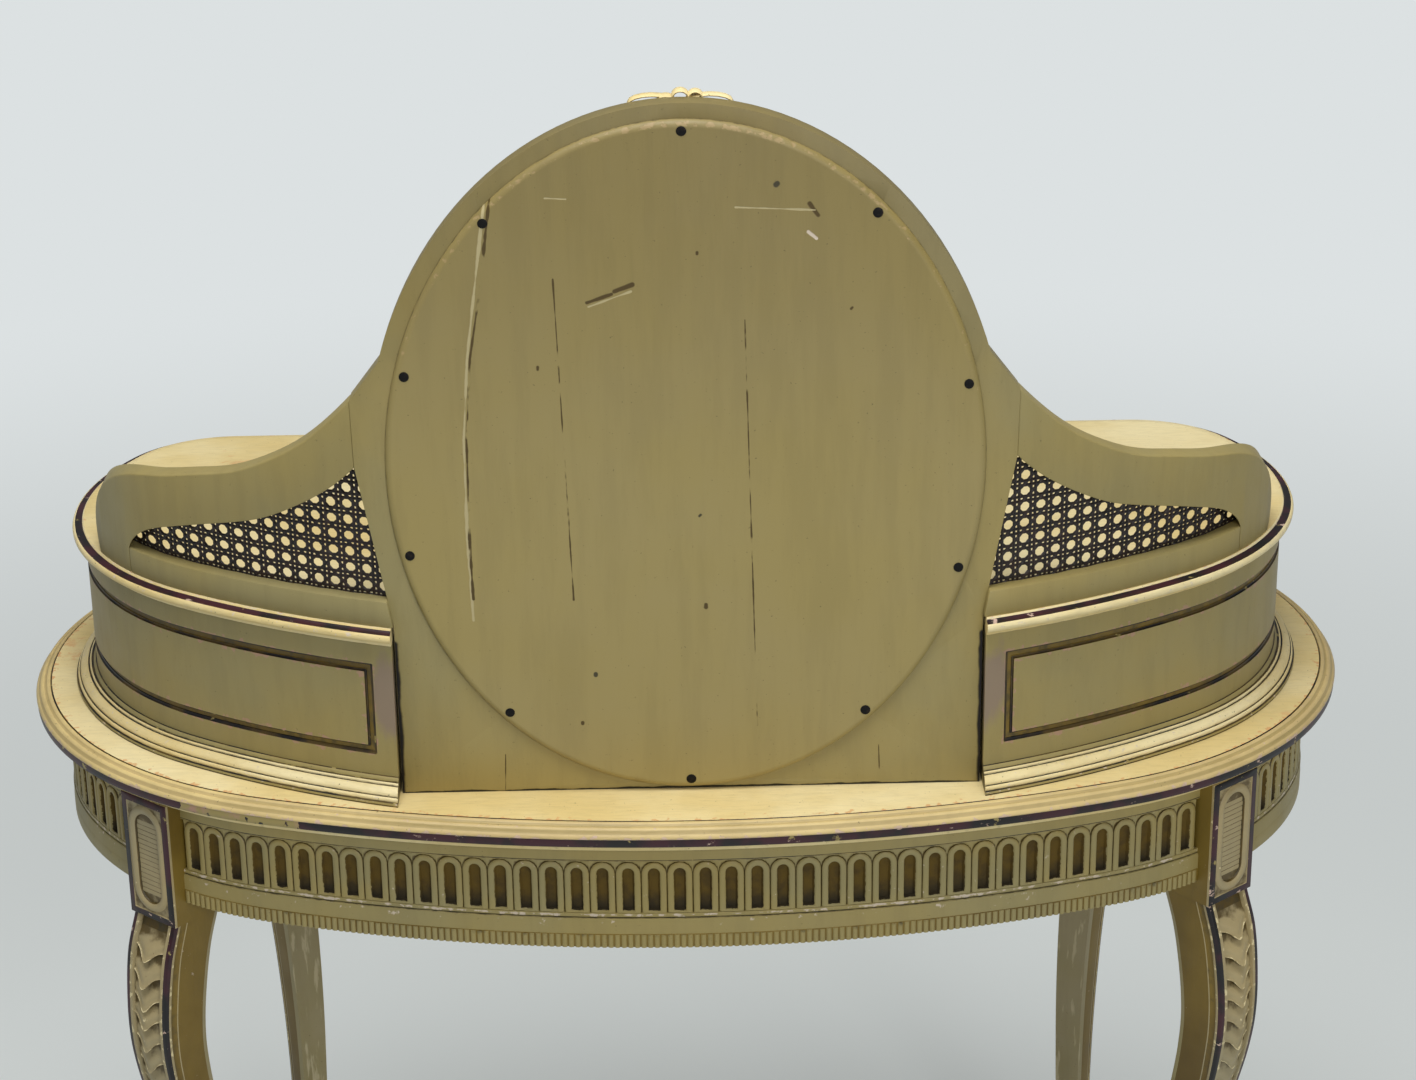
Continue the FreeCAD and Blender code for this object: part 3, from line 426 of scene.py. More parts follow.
def softened(node, name, width, body="root", material=olive, steps=2):
    # the CAD shape with its arrises eased
    piece = addObject(name, frame["nodes"][node].data.copy())
    piece.data.materials.clear()
    piece.data.materials.append(material)
    work = bmesh.new()
    work.from_mesh(piece.data)
    bmesh.ops.remove_doubles(work, verts=work.verts, dist=joinGap["cad"])
    bmesh.ops.dissolve_limit(work, angle_limit=math.radians(1), verts=work.verts, edges=work.edges)
    bmesh.ops.recalc_face_normals(work, faces=work.faces)
    work.to_mesh(piece.data)
    work.free()
    bevel = piece.modifiers.new("ease", "BEVEL")
    bevel.width = width
    bevel.segments = steps
    bevel.limit_method = "ANGLE"
    bevel.angle_limit = math.radians(40)
    mesh = evaluated(piece)
    piece.modifiers.clear()
    piece.data = mesh
    tidyMesh(piece, 35)
    putInPlace(piece, node, body=body)


# Geometry Nodes building

def newTree(name, sockets):
    tree = bpy.data.node_groups.new(name, "GeometryNodeTree")
    ends = [("Geometry", "Geometry", "INPUT"), ("Geometry", "Geometry", "OUTPUT")]
    for label, kind, way in ends + [(label, kind, "INPUT") for label, kind in sockets]:
        tree.interface.new_socket(label, in_out=way, socket_type="NodeSocket" + kind)
    return tree, tree.nodes.new("NodeGroupInput").outputs


def closeTree(tree, geometry, paint):
    real = addNode(tree, "GeometryNodeRealizeInstances", {0: geometry})
    painted = addNode(tree, "GeometryNodeSetMaterial", {"Geometry": real.outputs[0], "Material": paint})
    addNode(tree, "NodeGroupOutput", {0: painted.outputs[0]})
    return tree


def repeatTree(name, axis=None, pivot=None):
    # units on a path, each turned with the path, or on its points; the path's radius sets a unit's size
    tree, start = newTree(name, (("Unit", "Object"), ("Count", "Int"), ("Jitter", "Float"), ("Seed", "Int"),
                                 ("Paint", "Material")))
    points = addNode(tree, "GeometryNodeCurveToPoints", {"Curve": start["Geometry"]},
                     mode="COUNT" if axis else "EVALUATED")
    unit = addNode(tree, "GeometryNodeObjectInfo", {"Object": start["Unit"]})
    least, most = (mathNode(tree, "MULTIPLY_ADD", start["Jitter"], sign, 1) for sign in (-1, 1))
    chance = addNode(tree, "FunctionNodeRandomValue", {"Seed": start["Seed"], "Min": least, "Max": most},
                     data_type="FLOAT_VECTOR")
    radius = addNode(tree, "GeometryNodeInputRadius")
    size = addNode(tree, "ShaderNodeVectorMath", {0: chance.outputs["Value"], 1: radius.outputs[0]},
                   operation="MULTIPLY")
    place = addNode(tree, "GeometryNodeInstanceOnPoints", {
        "Points": points.outputs["Points"], "Instance": unit.outputs["Geometry"], "Scale": size.outputs[0]})
    if axis:
        plug(tree, points.inputs["Count"], start["Count"])
        turn = addNode(tree, "FunctionNodeAlignRotationToVector", {"Vector": points.outputs["Tangent"]}, axis=axis,
                       pivot_axis=pivot)
        plug(tree, place.inputs["Rotation"], turn.outputs["Rotation"])
    return closeTree(tree, place.outputs[0], start["Paint"])


def newPath(runs, sizes=None):
    # straight runs between points; sizes are the points' radii
    curve = bpy.data.curves.new("path", "CURVE")
    curve.dimensions = "3D"
    for points in runs:
        line = curve.splines.new("POLY")
        line.points.add(len(points) - 1)
        for number, spot in enumerate(points):
            line.points[number].co = (*spot, 1)
            line.points[number].radius = sizes[number] if sizes else 1
    return addObject("path", curve)


def runTree(path, tree, name, values):
    # the tree's result as a plain mesh piece
    maker = path.modifiers.new("maker", "NODES")
    maker.node_group = tree
    for item in tree.interface.items_tree:
        if item.in_out == "INPUT" and item.name in values:
            maker[item.identifier] = values[item.name]
    mesh = evaluated(path)
    mesh.name = name
    bpy.data.objects.remove(path)
    return addObject(name, mesh)


def repeated(name, tree, makeUnit, spots, settings, paint, count=0, sizes=None):
    # copies of a unit along a path or on its points, as one piece
    unit = makeUnit()
    piece = runTree(newPath([spots], sizes), tree, name, {
        "Unit": unit, "Count": count, "Jitter": settings["jitter"], "Seed": settings["seed"], "Paint": paint})
    bpy.data.objects.remove(unit)
    return piece


alongRail = repeatTree("repeatAlongRail", "X", "Z")
alongLeg = repeatTree("repeatDownLeg", "Z", "X")
onSpots = repeatTree("repeatOnSpots")


# Plan of the table: ovals of four tangent arcs, addressed by the angle of the outward normal from +Y

class Oval:
    def __init__(self, half, across, endFlat):
        self.endRadius = across - endFlat
        self.endX = half - self.endRadius
        self.longRadius = (across**2 + half**2 - 2 * half * self.endRadius) / (2 * (across - self.endRadius))
        self.drop = self.longRadius - across
        self.turn = math.atan2(self.endX, self.drop)

    def arcAt(self, angle):
        angle = (angle + self.turn) % (2 * math.pi) - self.turn
        if angle <= self.turn:
            return Vector((0, -self.drop, 0)), self.longRadius
        if angle <= math.pi - self.turn:
            return Vector((self.endX, 0, 0)), self.endRadius
        if angle <= math.pi + self.turn:
            return Vector((0, self.drop, 0)), self.longRadius
        return Vector((-self.endX, 0, 0)), self.endRadius

    def point(self, angle, inset, z=0):
        centre, radius = self.arcAt(angle)
        return centre + Vector(((radius - inset) * math.sin(angle), (radius - inset) * math.cos(angle), z))

    def backAngle(self, x, inset):
        reach = (self.longRadius - inset) * math.sin(self.turn)
        if abs(x) <= reach:
            return math.asin(x / (self.longRadius - inset))
        return math.copysign(math.asin((abs(x) - self.endX) / (self.endRadius - inset)), x)

    def beside(self, angle, half, inset):
        return angle + math.asin(half / (self.endRadius - inset))

    def stations(self, start, stop, step, inset=0):
        # normal angles spaced by about a step along the curve, with the arcs' joints kept
        joints = [turns * math.pi + side * self.turn for turns in range(3) for side in (-1, 1)]
        cuts = sorted([start, stop] + [a for a in joints if start < a < stop])
        angles = []
        for a, b in zip(cuts, cuts[1:]):
            _, radius = self.arcAt((a + b) / 2)
            count = max(1, round((b - a) * (radius - inset) / step))
            angles += [a + (b - a) * i / count for i in range(count)]
        return angles + [stop]

    def spread(self, start, stop, pitch, inset):
        # ends of a row of evenly spaced places, and how many fit
        fine = self.stations(start, stop, 1 * mm, inset)
        runs = runLengths([self.point(a, inset) for a in fine])
        count = int(runs[-1] / pitch)
        margin = (runs[-1] - (count - 1) * pitch) / 2
        first = next(fine[i] for i, run in enumerate(runs) if run >= margin)
        last = next(fine[i] for i, run in enumerate(runs) if run >= runs[-1] - margin)
        return first, last, count


def runLengths(spots):
    # length of a path up to each of its spots
    runs = [0]
    for a, b in zip(spots, spots[1:]):
        runs.append(runs[-1] + (b - a).length)
    return runs


topLow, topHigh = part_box("table_top")
plan = {"topEndFlat": 39 * mm, "boxBackMargin": 8 * mm, "boxEndFlat": 77 * mm, "boxCorner": 103 * mm,
        "backLegAngle": math.radians(40), "frontLegAngle": math.pi - math.radians(33)}
topOval = Oval(topHigh.x, topHigh.y, plan["topEndFlat"])
boxLow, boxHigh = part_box("box_base_left")
boxOval = Oval(boxHigh.x, topHigh.y - plan["boxBackMargin"], plan["boxEndFlat"])
boxInner = boxLow.x
boxFront = -boxLow.y
cornerY = plan["boxCorner"] - boxFront
cornerX = boxOval.endX + math.sqrt((boxOval.endRadius - plan["boxCorner"]) ** 2 - cornerY**2)
cornerTurn = math.pi / 2 + math.atan2(-cornerY, cornerX - boxOval.endX)


# Table top

topSettings = {
    "step": 12 * mm,
    # inset, height over the underside, paint of the strip that ends here, dirt and painted shade, rubbing
    "profile": (
        (60, 25, 0, 0, 0), (34, 25, 0, 0, 0.05), (20, 25, 0, 0, 0.28), (13.6, 24.9, 0, 0.1, 0.56),
        (13.2, 24.1, 1, 0.6, 0), (12.5, 24.1, 1, 0.6, 0), (12, 24.9, 2, 0.1, 0.3), (10.4, 24.8, 2, 0, 0.35),
        (9.2, 24.1, 2, 0.1, 0.2), (8.6, 23.1, 4, 0.25, 0.1), (7.1, 22.6, 4, 0.25, 0.1), (6.6, 22.9, 2, 0.1, 0.3),
        (5.2, 22.6, 2, 0, 0.3), (3.8, 21.5, 2, 0.05, 0.2), (3.3, 20.3, 4, 0.25, 0.1), (2.2, 18.7, 4, 0.25, 0.1),
        (1.4, 18.1, 2, 0.1, 0.35), (0, 16.2, 2, 0.05, 0.5), (0.1, 15.4, 2, 0.1, 0.6), (0.6, 15, 3, 0, 0),
        (0.5, 12, 3, 0, 0), (0.6, 8.9, 3, 0, 0), (1.6, 8, 0, 0.2, 0.4), (11.6, 7.6, 0, 0.4, 0),
        (12, 7, 0, 0.4, 0), (12.4, 0.6, 0, 0.3, 0.2), (13.2, 0, 0, 0.3, 0), (60, 0, 0, 0.4, 0))}


def topPiece():
    angles = topOval.stations(-topOval.turn, 2 * math.pi - topOval.turn, topSettings["step"])[:-1]
    loops = [([topOval.point(a, inset * mm, topLow.z + height * mm) for a in angles], *look)
             for inset, height, *look in topSettings["profile"]]
    return loftPiece("tableTop", loops, [cream, lineDark, edgeBead, edgeRed, edgeShade], (0, 0), closed=True)


putInPlace(topPiece(), "table_top")
print("table top made")


# Frieze rails with their row of arches and their ribbed lower edge

railSettings = {
    "step": 10 * mm, "pathStep": 2 * mm, "blockHalf": 26 * mm,
    # inset, height over the rail's underside, paint, dirt and painted shade, rubbing
    "profile": (
        (47, 88, 0, 0, 0), (25, 88, 0, 0.5, 0), (25, 84, 0, 0.1, 0), (25, 74.4, 0, 0.1, 0.05),
        (25, 73.9, 0, 0.3, 0.1), (25.2, 73.3, 2, 0.6, 0), (25, 72.6, 0, 0.3, 0.1), (29.2, 72, 1, 0.5, 0),
        (29.2, 29, 1, 0.6, 0), (24.6, 28.6, 0, 0.3, 0.25), (24.2, 27.6, 0, 0.1, 0.6), (24.4, 25.6, 0, 0.2, 0.35),
        (25.2, 24.8, 2, 0.7, 0), (23.9, 24, 0, 0.3, 0.3), (23.6, 22.6, 0, 0.1, 0.35), (23.6, 12.6, 0, 0, 0.15),
        (23.4, 11.4, 0, 0.2, 0.1), (23.3, 11.1, 3, 0.3, 0), (23.3, 0.4, 3, 0.2, 0), (23.6, 0, 0, 0.3, 0.2),
        (47, 0, 0, 0, 0), (47, 88, 0, 0, 0))}
archSettings = {
    "pitch": 19.75 * mm, "high": 72.2 * mm, "low": 28.8 * mm, "niche": 8.8 * mm, "border": 5 * mm,
    "nicheLow": 30.4 * mm, "nicheHigh": 66.6 * mm, "inset": 25 * mm, "headSteps": 8, "seed": 4, "jitter": 0.003,
    "spandrel": (-1.7 * mm, -0.9 * mm),  # out from the face at the head and at the plain band
    # out from the border or the niche, up from its low end and from its head, and back; hollow, dirt and painted
    # shade, rubbing
    "borderRows": ((0.35, 0, 0.3, 1.3, 0, 0.9, 0), (-0.35, 0, -0.35, 0.2, 0, 0.1, 0.35),
                   (-1.3, 0.2, -1.3, -0.2, 0, 0, 0.3)),
    "nicheRows": ((1.1, -0.6, 1.1, -0.1, 0.12, 0, 0.3), (0.3, 0, 0.3, 0.5, 0.40, 0.1, 0.1),
                  (-0.4, 0.4, -0.5, 2.6, 0.85, 0.3, 0), (-1.2, 1.2, -2.0, 4, 1, 0.4, 0))}
ribSettings = {"pitch": 5.1 * mm, "wide": 3.9 * mm, "high": 10.8 * mm, "proud": 1.1 * mm, "sunk": 1.3 * mm,
               "inset": 22 * mm, "seed": 9, "jitter": 0.025}
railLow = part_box("apron_back")[0].z


def railPiece(name, start, stop, edging):
    # start and stop give the end angle at an inset
    profile = railSettings["profile"]
    a, b = start(profile[0][0] * mm), stop(profile[0][0] * mm)
    shares = [(x - a) / (b - a) for x in topOval.stations(a, b, railSettings["step"])]
    loops = []
    for inset, height, *look in profile:
        a, b = start(inset * mm), stop(inset * mm)
        spots = [topOval.point(a + (b - a) * s, inset * mm, railLow + height * mm) for s in shares]
        loops.append((spots, *look))
    caps = [columnFace(len(shares), column, len(loops) - 1) for column in (0, len(shares) - 1)]
    return loftPiece(name, loops, [olive, hollowOchre, lineDark, edging], caps=caps, smooth=40)


def archLoop(half, low, high, depth):
    # closed outline of an arch: up the left side, over the head and down the right side
    spring = high - half
    rises = [low + (spring - low) * i / 3 for i in range(3)]
    turns = [math.pi * i / archSettings["headSteps"] for i in range(archSettings["headSteps"] + 1)]
    spots = [(-half, z) for z in rises] + [(-half * math.cos(t), spring + half * math.sin(t)) for t in turns]
    return [Vector((x, -depth, z)) for x, z in spots + [(half, z) for z in reversed(rises)]]


def archUnit():
    a = archSettings
    half, niche = a["pitch"] / 2, a["niche"] / 2
    outer, top = niche + a["border"], a["nicheHigh"] + a["border"]
    loops = []
    for wide, low, high, table in ((outer, a["low"], top, a["borderRows"]),
                                   (niche, a["nicheLow"], a["nicheHigh"], a["nicheRows"])):
        loops += [(archLoop(wide + out * mm, low + under * mm, high + over * mm, back * mm), *look)
                  for out, under, over, back, *look in table]
    verts, faces = grid([loop[0] for loop in loops], closed=True)
    count = len(loops[0][0])
    faces.append(rowFace(count, len(loops) - 1))
    hollow, dirtAndShade, rub = ([loop[key] for loop in loops for _ in range(count)] for key in (1, 2, 3))
    low = [1 - (spot.z - a["nicheLow"]) / (a["nicheHigh"] - a["nicheLow"]) for spot in verts]
    # spandrel from the head up to the rail's plain band, a little behind the borders
    head = [spot for spot in loops[0][0] if spot.z > top - outer - 0.1 * mm]
    head = [Vector((-half, 0, head[0].z))] + head + [Vector((half, 0, head[0].z))]
    for spot in head:
        if spot is not head[-1]:
            c = len(verts)
            faces.append((c, c + 1, c + 3, c + 2))
        verts += [Vector((spot.x, a["spandrel"][0], spot.z)), Vector((spot.x, a["spandrel"][1], a["high"]))]
        hollow += [0, 0]
        dirtAndShade += [0.7, 0.1]
        rub += [0.1, 0.3]
        low += [0, 0]
    return newPiece("archUnit", verts, faces, [arches], None, 60,
                    {"hollow": hollow, "grime": dirtAndShade, "wear": rub, "low": low})


def ribUnit():
    r = ribSettings
    turns = [math.pi * i / 5 for i in range(6)]
    section = [(r["wide"] / 2 * math.cos(t), r["proud"] * math.sin(t) - r["sunk"]) for t in turns]
    loops = [([Vector((x, y, z)) for x, y in section], 0, dirtAndShade, 0.12) for z, dirtAndShade in ((0, 0.05), (r["high"], 0.4))]
    return loftPiece("ribUnit", loops, [olive], (0, 0))


def railRow(name, start, stop, makeUnit, settings, paint):
    inset = settings["inset"]
    first, last, count = topOval.spread(start(inset), stop(inset), settings["pitch"], inset)
    angles = topOval.stations(first, last, railSettings["pathStep"], inset)
    spots = [topOval.point(a, inset, railLow) for a in angles]
    putInPlace(repeated(name, alongRail, makeUnit, spots, settings, paint, count))


def frieze(name, node, start, stop, ribbed=True):
    putInPlace(railPiece(name + "Rail", start, stop, wallGroove if ribbed else wallOlive), node)
    railRow(name + "Arches", start, stop, archUnit, archSettings, arches)
    if ribbed:  # the end rails have a plain edging
        railRow(name + "Ribs", start, stop, ribUnit, ribSettings, olive)


def past(angle, side):
    return lambda inset: topOval.beside(angle, side * railSettings["blockHalf"], inset)


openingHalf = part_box("front_rail")[1].x
backAngle, frontAngle = plan["backLegAngle"], plan["frontLegAngle"]
frieze("backFrieze", "apron_back", lambda i: -past(backAngle, -1)(i), past(backAngle, -1))
frieze("leftFrieze", "apron_left", past(backAngle, 1), past(frontAngle, -1), ribbed=False)
frieze("rightFrieze", "apron_right", lambda i: 2 * math.pi - past(frontAngle, -1)(i),
       lambda i: 2 * math.pi - past(backAngle, 1)(i), ribbed=False)
frieze("frontLeftFrieze", "apron_front_left", past(frontAngle, 1),
       lambda i: math.pi - topOval.backAngle(openingHalf, i))
frieze("frontRightFrieze", "apron_front_right", lambda i: math.pi + topOval.backAngle(openingHalf, i),
       lambda i: 2 * math.pi - past(frontAngle, 1)(i))
print("frieze carved")


# Legs: framed block with a sunk medallion, then a cabriole leg with a channel of scales down its face

legSettings = {
    "blockWidth": 52 * mm, "blockLow": 628 * mm, "blockInset": 11 * mm, "rows": 110, "ease": 1.6 * mm,
    "fullWidth": 24 * mm,  # narrower halves take narrower edge lines
    # from the side to the channel: distance in from the side and behind the face, paint after it, dirt and painted
    # shade, rubbing
    "edge": (
        (0, 13.5, 0, 0.2, 0.2), (0, 12.3, 1, 0.4, 0), (0.5, 11.6, 1, 0.35, 0.05), (0.5, 6.4, 0, 0.4, 0.1),
        (0, 5.8, 0, 0.1, 0.5), (0, 3.6, 3, 0.1, 0.4), (0.4, 0.8, 3, 0, 0), (1.4, 0, 3, 0, 0), (4.6, 0, 0, 0.1, 0.5),
        (7.6, -0.2, 0, 0.1, 0.4), (8.4, 3.4, 2, 0.5, 0)),
    # height share, reach of the outer face, width and depth against the block
    "shares": (
        (1, -0.04, 0.94, 0.92), (0.95, 0.17, 0.95, 0.9), (0.88, 0.29, 0.91, 0.86), (0.825, 0.3, 0.88, 0.82),
        (0.775, 0.22, 0.84, 0.79), (0.73, 0.1, 0.78, 0.77), (0.61, -0.28, 0.68, 0.68), (0.47, -0.49, 0.6, 0.6),
        (0.33, -0.55, 0.53, 0.53), (0.19, -0.5, 0.48, 0.49), (0.09, -0.33, 0.49, 0.56),
        (0.04, -0.12, 0.66, 0.76), (0, -0.1, 0.7, 0.78))}
medallion = {
    "half": 19.6 * mm, "tall": 46.4 * mm, "ring": 7 * mm, "deep": 2.4 * mm, "ribPitch": 4.3 * mm, "ribShare": 0.84,
    "ribGap": 0.8 * mm, "ribLift": 1.2 * mm, "steps": 12, "seed": 3, "jitter": 0.03,
    # section of a bar: out in mm, and up against half its pitch
    "ribSection": ((-2.2, -1.0), (-1.1, -0.86), (-0.9, 0.0), (-1.1, 0.86), (-2.2, 1.0)),
    # rows of the block, then of the medallion: distance in, out from the face, paint, dirt and painted shade, rubbing
    "frameRows": ((0, -52, 0, 0, 0), (0, -3, 1, 0, 0.2), (0, -0.8, 0, 0, 0.45), (0.8, 0, 3, 0, 0), (6, 0, 3, 0, 0),
                  (6.6, -0.9, 0, 0.5, 0.3)),
    "ringRows": ((-0.2, -1.2, 0, 0.55, 0), (1.4, 0.6, 0, 0, 0.2), (4.2, 0.9, 0, 0, 0.28), (7, -0.6, 0, 0.3, 0.1),
                 (7.6, -2.4, 2, 0.7, 0))}
scaleSettings = {"pitch": 18.4 * mm, "wide": 15.6 * mm, "long": 28 * mm, "proud": 5.2 * mm, "seed": 12,
                 "jitter": 0.08, "start": 0.985, "span": 0.925, "steps": 120, "columns": 14, "rows": 9}


def smoothTable(rows, share):
    # value between rows of a table by a smooth curve through them, rows from high share to low
    for k in range(len(rows) - 1):
        if rows[k][0] >= share >= rows[k + 1][0]:
            break
    ends = [rows[max(k - 1, 0)], rows[k], rows[k + 1], rows[min(k + 2, len(rows) - 1)]]
    step = ends[1][0] - ends[2][0]
    t = (ends[1][0] - share) / step
    result = []
    for i in range(1, len(rows[0])):
        before = (ends[2][i] - ends[0][i]) / max(ends[0][0] - ends[2][0], 1e-6) * step
        after = (ends[3][i] - ends[1][i]) / max(ends[1][0] - ends[3][0], 1e-6) * step
        result.append((2 * t**3 - 3 * t**2 + 1) * ends[1][i] + (t**3 - 2 * t**2 + t) * before
                      + (3 * t**2 - 2 * t**3) * ends[2][i] + (t**3 - t**2) * after)
    return result


def legSection(half, front, back, z):
    # side edge lines, painted arris, raised fillet and channel of the outer face; then round the inner face
    narrow = min(1, half / legSettings["fullWidth"])
    side = [(half - inward * mm * narrow, front - behind * mm * narrow) for inward, behind, *_ in legSettings["edge"]]
    ease = legSettings["ease"]
    rest = [(-half, back + ease * 3), (-half + ease, back), (half - ease, back), (half, back + ease * 3)]
    return [Vector((x, y, z)) for x, y in side + [(-x, y) for x, y in reversed(side)] + rest]


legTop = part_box("leg_back_left")[1].z
blockLow = legSettings["blockLow"]
blockMiddle = (legTop + blockLow) / 2
blockSize = legSettings["blockWidth"]


def legShaft():
    s = legSettings
    rings = []
    for r in range(s["rows"] + 1):
        share = 1 - r / s["rows"]
        reach, wide, deep = smoothTable(s["shares"], share)
        rings.append(legSection(wide * blockSize / 2, reach * blockSize, (reach - deep) * blockSize, share * blockLow))
    verts, faces = grid(rings, closed=True)
    across = s["edge"] + s["edge"][::-1]
    dirtAndShade = [row[3] for row in across] + [0, 0.1, 0.1, 0]
    rub = [row[4] for row in across] + [0.2, 0.42, 0.42, 0.2]
    paints = [row[2] for row in s["edge"]]
    slots = (paints + paints[-2::-1] + [1, 4, 4, 4, 1]) * s["rows"] + [0, 0]
    faces += [rowFace(len(dirtAndShade), 0), rowFace(len(dirtAndShade), s["rows"])]
    return newPiece("legShaft", verts, faces, [carved, sideOlive, hollowOchre, lineRed, legInside], slots, 45,
                    {"grime": dirtAndShade * len(rings), "wear": rub * len(rings)})


def stadiumLoop(half, tall, out, square=False):
    # two half turns joined by straight sides; square pushes them out to a rectangle with the same count of points
    spots = []
    for sign in (1, -1):
        for i in range(medallion["steps"] + 1):
            t = math.pi * i / medallion["steps"] + (0 if sign > 0 else math.pi)
            x, z = math.cos(t), math.sin(t)
            big = max(abs(x), abs(z)) if square else 1
            onEnd = square and abs(z) >= abs(x) - 1e-6
            spots.append((half * x / big, sign * tall if onEnd else sign * (tall - half) + half * z / big))
        spots += [(-sign * half, sign * (tall - half) / 3), (-sign * half, -sign * (tall - half) / 3)]
    return [Vector((x, out, blockMiddle + z)) for x, z in spots]


def legBlock():
    loops = []
    for rows, half, tall in (("frameRows", blockSize / 2, (legTop - blockLow) / 2),
                             ("ringRows", medallion["half"], medallion["tall"])):
        loops += [(stadiumLoop(half - inset * mm, tall - inset * mm, out * mm, rows == "frameRows"), *look)
                  for inset, out, *look in medallion[rows]]
    return loftPiece("legBlock", loops, [carved, sideOlive, hollowOchre, lineRed], (1, 0), closed=True, smooth=45)


def medallionRibs():
    m = medallion
    half, tall = (m[side] - m["ring"] - m["ribGap"] for side in ("half", "tall"))
    count = int(2 * tall * m["ribShare"] / m["ribPitch"])

    def barUnit():
        rows = [[Vector((x, y * mm, z * m["ribPitch"] / 2)) for y, z in m["ribSection"]] for x in (-half, half)]
        return newPiece("ribBar", *grid(rows), [carved], None, 50,
                        {"wear": [0.1] * 10, "grime": [0.8, 0.25, 0.1, 0.1, 0.5] * 2})

    spots, sizes = [], []
    for i in range(count):
        z = (i - (count - 1) / 2) * m["ribPitch"]
        past = max(0, abs(z) - (tall - half))
        spots.append(Vector((0, m["ribLift"] - m["deep"], blockMiddle + z)))
        sizes.append(math.sqrt(max(0.02, 1 - (past / half) ** 2)))
    return repeated("medallionRibs", onSpots, barUnit, spots, m, carved, sizes=sizes)


def scaleUnit():
    # one husk: tucked in at its top, swelling to a bell-shaped lip that drops to the channel
    s = scaleSettings
    columns, rowsDown = s["columns"], s["rows"]
    rows, dirtAndShade, rub = [], [], []
    for r in range(rowsDown + 2):
        v = min(r / rowsDown, 1)
        row = []
        for c in range(columns + 1):
            u = 2 * c / columns - 1
            # the lip: a round lobe in the middle between two rising shoulders
            lobe = math.exp(-((u / 0.42) ** 2))
            drop = 0.58 + 0.12 * math.cos(math.pi * u / 2) + 0.30 * lobe
            rise = min(1, max(0, (v - 0.18) / 0.5))
            belly = rise * rise * (3 - 2 * rise)
            crown = 0.22 + 0.38 * math.cos(math.pi * u / 2) + 0.40 * lobe
            y = s["proud"] * (0.08 + 0.92 * belly) * crown - 0.9 * mm * math.exp(-(((v - 0.88) / 0.07) ** 2))
            z = -s["long"] * v * drop
            if r == rowsDown:
                y += 0.5 * mm  # rolled edge of the lip
            if r == rowsDown + 1:
                y, z = -0.8 * mm, z + 1.8 * mm
            row.append(Vector((u * s["wide"], y, z)))
            # dirt and painted shade: darkest on the face under the lip, and darker where the husk tucks under the one
            # above
            dirtAndShade.append(0.95 if r > rowsDown else 0.62 * (1 - rise) + 0.3 * abs(u) ** 3)
            rub.append(0.66 if r == rowsDown else 0.46 * math.exp(-(((v - 0.66) / 0.14) ** 2)) * lobe)
        rows.append(row)
    return newPiece("scaleUnit", *grid(rows), [carved], None, 70, {"grime": dirtAndShade, "wear": rub})


def legScales():
    s, steps = scaleSettings, scaleSettings["steps"]
    margin, sunk = (value * mm for value in legSettings["edge"][-1][:2])
    spots, sizes = [], []
    for i in range(steps, -1, -1):
        share = s["start"] - s["span"] * i / steps
        reach, wide, _ = smoothTable(legSettings["shares"], share)
        half = wide * blockSize / 2
        narrow = min(1, half / legSettings["fullWidth"])
        spots.append(Vector((0, reach * blockSize - sunk * narrow - 0.1 * mm, share * blockLow)))
        sizes.append((half - margin * narrow) / s["wide"])
    count = int(runLengths(spots)[-1] / s["pitch"])
    return repeated("legScales", alongLeg, scaleUnit, spots, s, carved, count, sizes)


wholeLeg = joinPieces("legPattern", [legShaft(), legBlock(), medallionRibs(), legScales()])
for node, name, angle in (("leg_back_", "backLeg", backAngle), ("leg_front_", "frontLeg", frontAngle)):
    leg = addObject(name + "Left", wholeLeg.data.copy())
    leg.data.transform(Matrix.Translation(topOval.point(angle, legSettings["blockInset"]))
                       @ Matrix.Rotation(-angle, 4, "Z"))
    putInPlace(leg, node + "left")
    putInPlace(mirrorPiece(leg, name + "Right"), node + "right")
bpy.data.objects.remove(wholeLeg)
print("legs carved")


# Boxes: base moulding, wall with a grooved panel, and cap; then the rails of the wings

